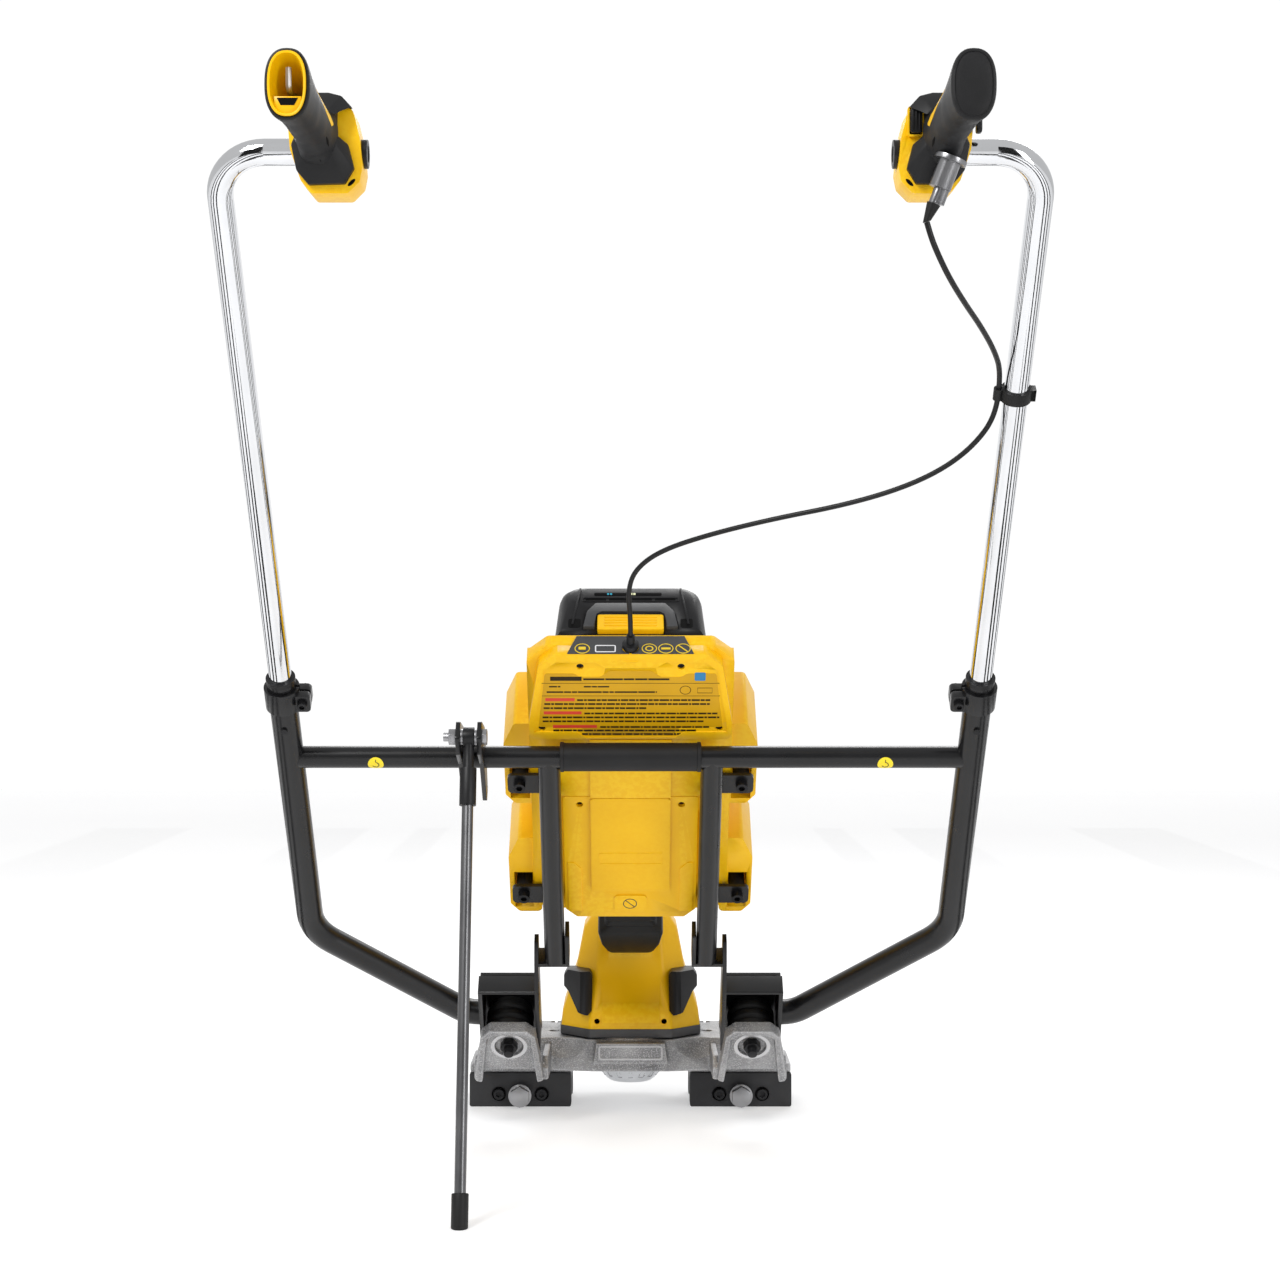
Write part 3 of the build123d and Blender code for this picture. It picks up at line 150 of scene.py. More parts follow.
def bump(wire, height, distance):
    """Surface relief from a height, distance in metres."""
    return wire.make("Bump", {}, {"Height": height, "Distance": distance})


def textured(name, low, high, rough, grain, depth, metal=0.0, edge_highlight=0.0, edge_highlight_colour=(0.5, 0.5, 0.5),
             **fixed):
    """Finish whose colour, gloss and grain vary: rough is (least, most), grain in waves per metre."""
    material, wire, shader = finish(name, Metallic=metal, **fixed)
    broad = noise(wire, 14, 4)
    fine = noise(wire, grain, 3)
    colour = tint(wire, broad.above(0.5, 0.5), low, high)
    # Convex edges are mixed towards a second colour: a painted highlight along the edges.
    if edge_highlight:
        edge = wire.make("NewGeometry", out=7).above(0.53, 0.06) * noise(wire, 160, 4).above(0.5, 0.2) * edge_highlight
        colour = wire.make("Mix", {"data_type": "RGBA"}, {0: edge, 6: colour, 7: (*edge_highlight_colour, 1)}, out=2)
    connect(colour, shader, "Base Color")
    connect(noise(wire, 45, 4) * (rough[1] - rough[0]) + rough[0], shader, "Roughness")
    connect(bump(wire, fine, depth), shader, "Normal")
    return material


def softbox(name, place, target, size, power):
    """Large square area light."""
    light = bpy.data.objects.new(name, bpy.data.lights.new(name, "AREA"))
    light.data.shape = "RECTANGLE"
    light.data.size, light.data.size_y = size
    light.data.energy = power
    light.location = place
    light.rotation_euler = (Vector(target) - Vector(place)).to_track_quat("-Z", "Y").to_euler()
    scene.collection.objects.link(light)


def card(name, corners, material):
    """Flat four-cornered stage piece."""
    mesh = bpy.data.meshes.new(name)
    mesh.from_pydata(corners, [], [(0, 1, 2, 3)])
    piece = bpy.data.objects.new(name, mesh)
    mesh.materials.append(material)
    scene.collection.objects.link(piece)
    return piece


floor_finish, floor_wire, floor_shader = finish("pale_floor", Roughness=0.8)
connect(tint(floor_wire, noise(floor_wire, 1.5), (0.62, 0.62, 0.63), (0.66, 0.66, 0.66)), floor_shader,
        "Base Color")
floor_shader.inputs["Emission Color"].default_value = (1, 1, 1, 1)
floor_shader.inputs["Emission Strength"].default_value = 0.42
FLOOR_HALF = 14.0
card("floor", [(-FLOOR_HALF, -FLOOR_HALF, 0), (FLOOR_HALF, -FLOOR_HALF, 0), (FLOOR_HALF, FLOOR_HALF, 0),
               (-FLOOR_HALF, FLOOR_HALF, 0)], floor_finish)
backdrop_finish, backdrop_wire, backdrop_shader = finish("backdrop", Roughness=0.9)
connect(tint(backdrop_wire, noise(backdrop_wire, 0.6), (0.05, 0.05, 0.05), (0.06, 0.06, 0.06)),
        backdrop_shader,
        "Base Color")
backdrop_shader.inputs["Emission Color"].default_value = (1, 1, 1, 1)
backdrop_shader.inputs["Emission Strength"].default_value = 0.97
BACKDROP_Y = 7.0
card("backdrop", [(-6, BACKDROP_Y, 0), (6, BACKDROP_Y, 0), (6, BACKDROP_Y, 6), (-6, BACKDROP_Y, 6)],
     backdrop_finish)
dark_card, dark_wire, dark_shader = finish("dark_card", Roughness=0.9)
connect(tint(dark_wire, noise(dark_wire, 2), (0.003, 0.003, 0.003), (0.004, 0.004, 0.004)), dark_shader,
        "Base Color")
CARD_Y = -3.7
for name, left, right in (("left", -2.6, -1.1), ("middle", -0.5, 0.5), ("right", 1.1, 2.6)):
    flag = card(name + "_dark_card", [(left, CARD_Y, -0.2), (right, CARD_Y, -0.2), (right, CARD_Y, 3.4),
                                      (left, CARD_Y, 3.4)], dark_card)
    flag.visible_camera = False
    flag.visible_diffuse = False
    flag.visible_shadow = False
STRIP_FRONT_Y, STRIP_END_Y = -3.4, 5.0
for name, near, far in (("first", 0.60, 0.70), ("second", 0.86, 1.04), ("third", 1.45, 1.75),
                        ("fourth", 2.4, 3.0)):
    for side in (-1, 1):
        strip = card(f"{name}_floor_strip_{'left' if side < 0 else 'right'}",
                     [(side * near, STRIP_FRONT_Y, 0.002), (side * far, STRIP_FRONT_Y, 0.002),
                      (side * far, STRIP_END_Y, 0.002), (side * near, STRIP_END_Y, 0.002)], dark_card)
        strip.visible_camera = False
        strip.visible_diffuse = False
        strip.visible_shadow = False
world = bpy.data.worlds.new("studio")
world.use_nodes = True
world.node_tree.nodes["Background"].inputs["Color"].default_value = (1, 1, 1, 1)
world.node_tree.nodes["Background"].inputs["Strength"].default_value = 0.62
scene.world = world
softbox("key_light", (-1.5, -2.2, 2.6), (0, 0, 0.5), (0.9, 1.2), 62)
softbox("fill_light", (2.0, -2.2, 1.2), (0, 0, 0.5), (0.5, 1.8), 24)
softbox("back_light", (0.4, 2.6, 2.8), (0, 0, 0.6), (2.4, 1.2), 50)

# ---- switch cable -----------------------------------------------------------------------------
# A limp rubber-jacketed lead. It comes up out of the head's gland, is held by a strap on the
# right tube, and goes on to the metal plug under the right handle.
ORIGIN_SHIFT_Y = 454.378
CABLE_DIAMETER = 0.0055
LOWER_ROUTE = [(0, -494, 628), (0, -510, 648), (-3, -531, 677), (5, -552, 700), (33, -574, 720),
               (88, -600, 737), (155, -627, 752), (222, -651, 764), (278, -676, 779), (321, -697, 798),
               (352, -712, 822), (372, -727, 851), (372, -742.7, 871.4)]
UPPER_ROUTE = [(372, -743.4, 872.3), (372, -759, 892), (360, -796, 908), (340, -840, 926), (318, -884, 942),
               (298, -922, 960), (285, -942, 978), (277, -949, 994), (273.1, -950, 1007.6)]


def in_row(x, y, z):
    """A point given in the maker's millimetres, in the row's metres."""
    return Vector((x, y + ORIGIN_SHIFT_Y, z)) * MM


def route_line(name, route):
    """Points along the smooth curve that the route's points pull."""
    curve = bpy.data.curves.new(name, "CURVE")
    curve.dimensions = "3D"
    curve.resolution_u = 14
    spline = curve.splines.new("NURBS")
    spline.points.add(len(route) - 1)
    for point, place in zip(spline.points, route):
        point.co = (*in_row(*place), 1)
    spline.order_u = 3
    spline.use_endpoint_u = True
    holder = bpy.data.objects.new(name, curve)
    scene.collection.objects.link(holder)
    line = bpy.data.meshes.new_from_object(holder)
    points = [vertex.co.copy() for vertex in line.vertices]
    bpy.data.objects.remove(holder)
    return points


def piece_from(name, mesh_maker, material, body, replaces=()):
    """Turn a bmesh into a piece of the machine, smooth except at its sharp edges."""
    mesh = bpy.data.meshes.new(name)
    mesh_maker.to_mesh(mesh)
    mesh_maker.free()
    mesh.materials.append(material)
    mesh.shade_smooth()
    mesh.set_sharp_from_angle(angle=math.radians(32))
    piece = bpy.data.objects.new(name, mesh)
    scene.collection.objects.link(piece)
    if body:
        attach(piece, body)
    if replaces:
        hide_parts(*replaces)
    return piece


def tube_along(points, radius, sides=20):
    """Closed round tube along a line of points; radius may be a function of the share of its length."""
    made = bmesh.new()
    rings = []
    normal = None
    for index, point in enumerate(points):
        ahead = points[min(index + 1, len(points) - 1)] - points[max(index - 1, 0)]
        ahead.normalize()
        if normal is None:
            normal = ahead.orthogonal().normalized()
        normal = (normal - ahead * normal.dot(ahead)).normalized()
        across = ahead.cross(normal)
        width = radius(index / (len(points) - 1)) if callable(radius) else radius
        rings.append([made.verts.new(point + (normal * math.cos(turn) + across * math.sin(turn)) * width)
                      for turn in (math.tau * side / sides for side in range(sides))])
    for near, far in zip(rings, rings[1:]):
        for side in range(sides):
            after = (side + 1) % sides
            made.faces.new((near[side], near[after], far[after], far[side]))
    made.faces.new(reversed(rings[0]))
    made.faces.new(rings[-1])
    bmesh.ops.recalc_face_normals(made, faces=made.faces)
    return made


cable_finish = textured("cable_jacket", (0.006, 0.006, 0.006), (0.010, 0.010, 0.011), (0.32, 0.46), 1500,
                        0.00006,
                        Specular_IOR_Level=0.3)
lower_line = route_line("cable_lower_line", LOWER_ROUTE)
upper_line = route_line("cable_upper_line", UPPER_ROUTE)
switch_cable_lower = piece_from("switch_cable_lower", tube_along(lower_line, CABLE_DIAMETER / 2),
                                cable_finish, None,
                                ["cable_lower"])
switch_cable_upper = piece_from("switch_cable_upper", tube_along(upper_line, CABLE_DIAMETER / 2),
                                cable_finish, None,
                                ["cable_upper"])
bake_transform(switch_cable_lower)
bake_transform(switch_cable_upper)

# ---- vibrator base ----------------------------------------------------------------------------
# One sand-cast aluminium hub with two wings and the hoods over the isolators. It is left rough,
# and only its bores and seats are machined.
BODY_OF = {node: body for body, nodes in frame["record"]["behaviour"]["bodies"].items() for node in nodes}


def coat(node, material):
    """Give a carried-over node its finish."""
    piece = frame["nodes"][node]
    piece.data.materials.clear()
    piece.data.materials.append(material)


def shape_of(node):
    """The carried-over node's mesh, with its flat faces joined again."""
    made = bmesh.new()
    made.from_mesh(frame["nodes"][node].data)
    bmesh.ops.remove_doubles(made, verts=made.verts, dist=2e-6)
    bmesh.ops.dissolve_limit(made, angle_limit=math.radians(0.8), verts=made.verts, edges=made.edges)
    return made


def is_crease(edge, angle):
    return len(edge.link_faces) == 2 and edge.calc_face_angle(0) > math.radians(angle)


def has_room(edge, reach):
    """Whether the faces beside an edge are wide enough to be rounded this far."""
    along = (edge.verts[1].co - edge.verts[0].co).normalized()
    for vert in edge.verts:
        for other in vert.link_edges:
            if other is edge:
                continue
            way = (other.verts[1].co - other.verts[0].co).normalized()
            if is_crease(other, 20) and abs(way.dot(along)) > 0.85:
                continue
            if other.calc_length() < 2.2 * reach:
                return False
    return True


def softened(node, width, material):
    """The node's own shape with its moulded edges rounded, widest where there is room for it."""
    made = shape_of(node)
    for share in (1.0, 0.4, 0.15):
        reach = width * share * MM
        crease = 28 if share == 1.0 else 40
        edges = [edge for edge in made.edges if is_crease(edge, crease) and has_room(edge, reach)]
        if edges:
            bmesh.ops.bevel(made, geom=edges, offset=reach, segments=3, profile=0.5, affect="EDGES",
                            clamp_overlap=True)
    bmesh.ops.triangulate(made, faces=[face for face in made.faces if len(face.verts) > 4])
    return piece_from(node + "_finished", made, material, BODY_OF[node], [node])


def cast_over(node, grain, passes, material):
    """The node's shape as sand casting leaves it: every edge and inside corner run together."""
    made = shape_of(node)
    bmesh.ops.triangulate(made, faces=made.faces)
    mesh = bpy.data.meshes.new(node + "_pattern")
    made.to_mesh(mesh)
    made.free()
    holder = bpy.data.objects.new(node + "_pattern", mesh)
    scene.collection.objects.link(holder)
    skin = holder.modifiers.new("skin", "REMESH")
    skin.mode = "VOXEL"
    skin.voxel_size = grain * MM
    run = holder.modifiers.new("run", "SMOOTH")
    run.factor = 0.5
    run.iterations = passes
    bpy.context.view_layer.update()
    cast_mesh = bpy.data.meshes.new_from_object(holder.evaluated_get(bpy.context.evaluated_depsgraph_get()))
    bpy.data.objects.remove(holder)
    made = bmesh.new()
    made.from_mesh(cast_mesh)
    bpy.data.meshes.remove(cast_mesh)
    return piece_from(node + "_finished", made, material, BODY_OF[node], [node])


def sand_cast():
    """Aluminium as it leaves a sand mould: bright grains on a duller skin."""
    material, wire, shader = finish("sand_cast_aluminium", Metallic=0.85)
    grain = noise(wire, 900, 2, 0.6)
    broad = noise(wire, 20, 4)
    base = tint(wire, broad.above(0.5, 0.4), (0.20, 0.20, 0.205), (0.34, 0.34, 0.345))
    speck = wire.make("Mix", {"data_type": "RGBA"}, {0: grain.above(0.58, 0.1) * 0.75, 6: base,
                                                    7: (0.70, 0.70, 0.71, 1)}, out=2)
    edge = wire.make("NewGeometry", out=7).above(0.54, 0.08) * 0.5
    worn = wire.make("Mix", {"data_type": "RGBA"}, {0: edge, 6: speck, 7: (0.72, 0.72, 0.73, 1)}, out=2)
    connect(worn, shader, "Base Color")
    connect(noise(wire, 60, 4) * 0.25 + 0.38, shader, "Roughness")
    connect(bump(wire, grain * 0.7 + noise(wire, 260, 3) * 0.3, 0.0009), shader, "Normal")
    return material


def together(*parts):
    """Several shapes as one."""
    whole = bmesh.new()
    for part in parts:
        mesh = bpy.data.meshes.new("part")
        part.to_mesh(mesh)
        part.free()
        whole.from_mesh(mesh)
        bpy.data.meshes.remove(mesh)
    return whole


def solid(outline, low, high, place, edge=0.0):
    """Closed shape: an (a, b) outline raised from low to high; place turns (a, b, height) into a point."""
    made = bmesh.new()
    foot = [made.verts.new(place(a, b, low)) for a, b in outline]
    top = [made.verts.new(place(a, b, high)) for a, b in outline]
    made.faces.new(reversed(foot))
    made.faces.new(top)
    for index in range(len(outline)):
        after = (index + 1) % len(outline)
        made.faces.new((foot[index], foot[after], top[after], top[index]))
    if edge:
        bmesh.ops.bevel(made, geom=list(made.edges), offset=edge * MM, segments=2, profile=0.5,
                        affect="EDGES", clamp_overlap=True)
    bmesh.ops.recalc_face_normals(made, faces=made.faces)
    return made


def bar(left, right, low, high):
    """Rectangular outline."""
    return [(left, low), (right, low), (right, high), (left, high)]


def circle(x, y, radius, sides=32):
    """Round outline."""
    return [(x + radius * math.cos(math.tau * side / sides), y + radius * math.sin(math.tau * side / sides))
            for side in range(sides)]


def eased(points, radius, steps=5):
    """Outline with its corners rounded."""
    made = []
    for before, corner, after in zip(points[-1:] + points[:-1], points, points[1:] + points[:1]):
        corner, ends = Vector(corner), []
        for other in (before, after):
            away = Vector(other) - corner
            ends.append(corner + away.normalized() * min(radius, away.length / 2.01))
        for step in range(steps + 1):
            share = step / steps
            rest = 1 - share
            made.append(tuple(ends[0] * rest ** 2 + corner * 2 * share * rest + ends[1] * share ** 2))
    return made


def frame_of(outline, width, low, high, place):
    """Raised outline of this width, following a closed outline."""
    count = len(outline)
    middle = sum((Vector(point) for point in outline), Vector((0, 0))) / count
    inside = []
    for before, corner, after in zip(outline[-1:] + outline[:-1], outline, outline[1:] + outline[:1]):
        along = (Vector(after) - Vector(before)).normalized()
        across = Vector((-along.y, along.x))
        if across.dot(middle - Vector(corner)) < 0:
            across = -across
        inside.append(tuple(Vector(corner) + across * width))
    made = bmesh.new()
    rings = [[made.verts.new(place(a, b, height)) for a, b in ring]
             for ring, height in ((outline, low), (outline, high), (inside, high), (inside, low))]
    for near, far in zip(rings, rings[1:] + rings[:1]):
        for index in range(count):
            after = (index + 1) % count
            made.faces.new((near[index], near[after], far[after], far[index]))
    bmesh.ops.recalc_face_normals(made, faces=made.faces)
    return made


LEAN = math.radians(39)
FRAME_FOOT_Y = -37.0


def lean_point(x, v, t):
    """A point given across, up the leaning tubes, and out towards the operator, in millimetres."""
    return in_row(x, FRAME_FOOT_Y - v * math.sin(LEAN) - t * math.cos(LEAN),
                  v * math.cos(LEAN) - t * math.sin(LEAN))


cast = sand_cast()
cast_over("base_casting", 1.5, 7, cast)
dark_cast = textured("dark_adaptor", (0.07, 0.07, 0.072), (0.11, 0.11, 0.112), (0.42, 0.55), 1200, 0.0002,
                     metal=0.6)
softened("adaptor_plate", 0.8, dark_cast)
APRON_FRONT_Y = -72.0


def on_apron(x, z, height):
    """A point on the rear apron's face."""
    return in_row(x, APRON_FRONT_Y - height, z)


machined = textured("machined_aluminium", (0.52, 0.52, 0.53), (0.62, 0.62, 0.63), (0.22, 0.34), 1400, 0.0001,
                    metal=1.0)
piece_from("apron_rim", frame_of(eased(bar(-42, 42, 75, 94), 5), 2.4, -1.0, 1.3, on_apron), cast, "root")
for side in (-1, 1):
    seat = frame_of(circle(side * 153, 172, 23, 48), 4.6, 35.2, 36.5, lean_point)
    piece_from(("left" if side < 0 else "right") + "_machined_seat", seat, machined, "root")

# ---- clamp blocks -----------------------------------------------------------------------------
# Dark anodised channels that drop over the screed board. A big hexagon bolt drives a pad forward
# between two guide screws.
anodised = textured("dark_anodised", (0.020, 0.020, 0.022), (0.032, 0.032, 0.034), (0.42, 0.58), 1600,
                    0.00006,
                    metal=0.3)
plated = textured("plated_steel", (0.30, 0.30, 0.31), (0.42, 0.42, 0.43), (0.28, 0.42), 900, 0.00004,
                  metal=1.0)
softened("clamp_blocks", 0.7, anodised)
for node in ("left_clamp_pad", "right_clamp_pad"):
    coat(node, anodised)
black_oxide = textured("black_oxide_steel", (0.012, 0.012, 0.013), (0.02, 0.02, 0.022), (0.30, 0.42), 900,
                       0.00004,
                       metal=0.6)
BOLT_X = 0.147
for node in ("left_clamp_screws", "right_clamp_screws"):
    screws = softened(node, 0.7, plated)
    screws.data.materials.append(black_oxide)
    for face in screws.data.polygons:
        face.material_index = int(abs(abs(face.center.x) - BOLT_X) > 0.02)
softened("frame_fasteners", 0.5, black_oxide)

# ---- motor and vibrator -----------------------------------------------------------------------
# The motor stands upright under a yellow moulded bell. Its shaft carries a half-moon weight in
# the hub's cavity, closed from below by a turned cap.
# The yellow's convex edges are mixed towards a brighter golden yellow, its lit tone: a painted highlight
# along the edges.
yellow = textured("yellow_plastic", (0.83, 0.455, 0.0), (0.88, 0.50, 0.001), (0.34, 0.44), 2400, 0.00005,
                  edge_highlight=0.3, edge_highlight_colour=(0.95, 0.66, 0.02), Specular_IOR_Level=0.3)
black = textured("black_plastic", (0.006, 0.006, 0.007), (0.010, 0.010, 0.011), (0.34, 0.46), 2200, 0.00008,
                 Specular_IOR_Level=0.3)
rubber = textured("moulded_rubber", (0.006, 0.006, 0.006), (0.010, 0.010, 0.010), (0.42, 0.56), 1800,
                  0.00010,
                  Specular_IOR_Level=0.28)
polished = textured("turned_cap", (0.62, 0.63, 0.65), (0.76, 0.77, 0.79), (0.12, 0.24), 700, 0.00003,
                    metal=1.0)
dark_steel = textured("blackened_steel", (0.018, 0.018, 0.019), (0.030, 0.030, 0.032), (0.36, 0.5), 900,
                      0.00004,
                      metal=0.8)
copper = textured("enamelled_copper", (0.50, 0.20, 0.07), (0.62, 0.30, 0.12), (0.30, 0.45), 1500, 0.0002,
                  metal=0.8)
softened("motor_housing", 3.0, yellow)
softened("bumpers", 2.0, black)
softened("vibrator_cap", 0.6, polished)
coat("stator", copper)
for node in ("rotor", "eccentric_weight"):
    coat(node, dark_steel)
for node in ("drive_shaft", "bearings"):
    coat(node, plated)

# ---- frame ------------------------------------------------------------------------------------
# Welded steel tube and sheet under gloss black powder coat, hung on two rubber isolators.
powder = textured("black_powder_coat", (0.004, 0.004, 0.0045), (0.007, 0.007, 0.008), (0.24, 0.34), 900,
                  0.00004,
                  Specular_IOR_Level=0.35, Coat_Weight=0.15, Coat_Roughness=0.15)
softened("isolators", 1.4, rubber)
softened("frame_brackets", 1.2, powder)
softened("height_collars", 0.9, powder)
for node in ("lower_tubes", "crossbar", "struts"):
    coat(node, powder)
coat("tube_liners", black)

# ---- upper tubes ------------------------------------------------------------------------------
# Chromed tubes that telescope in the lower ones and turn in at the top to carry the handles.
chrome = textured("chrome_plate", (0.74, 0.75, 0.77), (0.80, 0.81, 0.83), (0.04, 0.09), 500, 0.00001,
                  metal=1.0)
for node in ("left_upper_tube", "right_upper_tube"):
    coat(node, chrome)

# ---- crossbar grip ----------------------------------------------------------------------------
# A rubber carrying grip, smooth on top and ribbed underneath, with a raised collar at each end.
soft = textured("soft_overmould", (0.007, 0.007, 0.0075), (0.011, 0.011, 0.012), (0.42, 0.56), 2600, 0.00010,
                Specular_IOR_Level=0.3)
CROSSBAR_V = 628.6
GRIP_HALF = 80.8


def turned(profile, start, along, sides=48, ripple=None):
    """Closed turned shape: (distance along, radius) pairs in millimetres about an axis."""
    made = bmesh.new()
    axis = Vector(along).normalized()
    across = axis.cross(Vector((0, 0, 1)) if abs(axis.z) < 0.9 else Vector((1, 0, 0))).normalized()
    other = axis.cross(across)
    rings = []
    for distance, radius in profile:
        ring = []
        for side in range(sides):
            turn = math.tau * side / sides
            reach = radius + (ripple(distance, turn) if ripple else 0)
            ring.append(made.verts.new(start + axis * distance * MM
                                       + (across * math.cos(turn) + other * math.sin(turn)) * reach * MM))
        rings.append(ring)
    for near, far in zip(rings, rings[1:]):
        for side in range(sides):
            after = (side + 1) % sides
            made.faces.new((near[side], near[after], far[after], far[side]))
    made.faces.new(reversed(rings[0]))
    made.faces.new(rings[-1])
    bmesh.ops.recalc_face_normals(made, faces=made.faces)
    return made


def underside_rib(distance, turn):
    """Fine ribs across the grip's underside, between its end collars."""
    low_side = max(0.0, -math.cos(turn - math.radians(20)) - 0.1)
    inside = 6 < distance < 2 * GRIP_HALF - 6
    return -0.9 * low_side ** 0.5 * (0.5 + 0.5 * math.cos(distance * math.pi / 1.3)) if inside else 0.0


grip_profile = [(0, 13), (0, 16.6), (0.8, 17.4), (4.2, 17.4), (4.8, 16.5)]
grip_profile += [(5 + step * 0.65, 16.5) for step in range(1, 233)]
grip_profile += [(156.8, 16.5), (157.4, 17.4), (160.8, 17.4), (161.6, 16.6), (161.6, 13)]
piece_from("crossbar_grip_ribbed", turned(grip_profile, lean_point(-GRIP_HALF, CROSSBAR_V, 0), (1, 0, 0),
                                          ripple=underside_rib), soft, "root",
                                          ["crossbar_grip"])

# ---- hook stickers ----------------------------------------------------------------------------
# Two round yellow vinyl stickers on the crossbar mark where to hook a lifting strap.
sticker_yellow = textured("vinyl_yellow", (0.80, 0.62, 0.01), (0.86, 0.68, 0.02), (0.30, 0.4), 1500, 0.00002)
sticker_black = textured("vinyl_black", (0.012, 0.012, 0.012), (0.016, 0.016, 0.016), (0.30, 0.4), 1500,
                         0.00002)
STICKER_X = 291.0
STICKER_RADIUS = 9.0
TUBE_RADIUS = 12.7


def on_crossbar(x, around, height):
    """A point on the crossbar's round surface, around its girth and height above it in millimetres."""
    turn = around / TUBE_RADIUS
    reach = TUBE_RADIUS + height
    return lean_point(x, CROSSBAR_V + reach * math.sin(turn), reach * math.cos(turn))


def wrapped_disc(x, radius, height):
    """Round sticker that follows the tube."""
    made = bmesh.new()
    rings = []
    for level, reach in ((0.0, radius), (height, radius), (height, radius * 0.75), (height, radius * 0.5),
                         (height, radius * 0.25)):
        rings.append([made.verts.new(on_crossbar(x + reach * math.cos(math.tau * side / 32),
                                                 reach * math.sin(math.tau * side / 32), level))
                      for side in range(32)])
    for near, far in zip(rings, rings[1:]):
        for side in range(32):
            after = (side + 1) % 32
            made.faces.new((near[side], near[after], far[after], far[side]))
    made.faces.new(rings[-1])
    made.faces.new(reversed(rings[0]))
    bmesh.ops.recalc_face_normals(made, faces=made.faces)
    return made


for side in (-1, 1):
    name = "left" if side < 0 else "right"
    piece_from(name + "_hook_sticker", wrapped_disc(side * STICKER_X, STICKER_RADIUS, 0.25), sticker_yellow,
               "root")
    hook = [on_crossbar(side * STICKER_X + 3.6 * math.cos(turn), 3.6 * math.sin(turn) - 0.8, 0.35)
            for turn in (math.radians(200 + 20 * step) for step in range(12))]
    hook += [on_crossbar(side * STICKER_X, 3.0 + step, 0.35) for step in range(4)]
    piece_from(name + "_hook_mark", tube_along(hook, 0.00045, 8), sticker_black, "root")

# ---- kickstand --------------------------------------------------------------------------------
# Two welded ears on the crossbar carry a plated leg with a moulded socket and a rubber ferrule.
leg_steel = textured("drawn_steel", (0.13, 0.13, 0.135), (0.20, 0.20, 0.205), (0.26, 0.38), 900, 0.00003,
                     metal=1.0)
softened("kickstand_plates", 0.8, powder)
softened("kickstand_socket", 0.9, black)
softened("kickstand_foot", 1.2, rubber)
coat("kickstand_rod", leg_steel)
softened("kickstand_bolt", 0.5, plated)

# ---- drive head -------------------------------------------------------------------------------
# The yellow housing hangs between the struts on four rubber mounts, with two screwed covers, a
# dark symbol plate on top and the cable's gland.
panel = textured("dark_panel", (0.030, 0.031, 0.034), (0.042, 0.043, 0.046), (0.42, 0.55), 1800, 0.00004)
board = textured("solder_mask", (0.012, 0.12, 0.04), (0.02, 0.16, 0.06), (0.22, 0.35), 1500, 0.00008)
ink = textured("printed_ink", (0.020, 0.012, 0.001), (0.03, 0.018, 0.002), (0.40, 0.5), 1500, 0.00001,
               Specular_IOR_Level=0.2)
film = textured("label_film", (0.56, 0.30, 0.0), (0.62, 0.335, 0.001), (0.30, 0.40), 1500, 0.00003,
                Specular_IOR_Level=0.3)
red_ink = textured("red_ink", (0.60, 0.04, 0.015), (0.66, 0.05, 0.02), (0.40, 0.5), 1500, 0.00001)
blue_ink = textured("blue_ink", (0.01, 0.17, 0.38), (0.015, 0.21, 0.44), (0.35, 0.45), 1500, 0.00001)
yellow_ink = textured("yellow_ink", (0.72, 0.50, 0.01), (0.78, 0.55, 0.015), (0.40, 0.5), 1500, 0.00001)
white_ink = textured("white_ink", (0.70, 0.70, 0.72), (0.78, 0.78, 0.80), (0.40, 0.5), 1500, 0.00001)
black_ink = textured("black_ink", (0.012, 0.012, 0.012), (0.016, 0.016, 0.016), (0.40, 0.5), 1500, 0.00001)
softened("head_shell", 5.0, yellow)
softened("label_cover", 1.6, yellow)
softened("lower_cover", 1.6, yellow)
softened("cable_gland", 0.7, black)
softened("ear_mounts", 1.0, rubber)
coat("symbol_panel", panel)
coat("head_screws", dark_steel)
for node in ("control_board", "motor_controller"):
    coat(node, board)
coat("battery_terminal", black)


LABEL_T = -31.5
INK = 0.35
FILM = 0.2
label_outline = [(-106, 647), (-58, 647), (-49, 636), (49, 636), (58, 647), (106, 647), (97, 727), (64, 727),
                 (58, 722), (34, 722), (24, 731), (-24, 731), (-34, 722), (-58, 722), (-64, 727), (-97, 727)]
piece_from("label_film", solid(eased(label_outline, 3), LABEL_T - 0.4, LABEL_T + FILM, lean_point), film,
           "root")


def on_label(shapes):
    """Flat printed marks on the label cover's recessed face."""
    return together(*[solid(outline, LABEL_T - 0.3, LABEL_T + INK, lean_point) for outline in shapes])


def bars_in_row(left, right, v, height, lengths, gap=0.9):
    """A row of short blank bars that fills a line, with the gaps between them."""
    shapes, x, index = [], left, 0
    while x < right - 1:
        end = min(x + lengths[index % len(lengths)], right)
        shapes.append(bar(x, end, v - height / 2, v + height / 2))
        x = end + gap
        index += 1
    return shapes


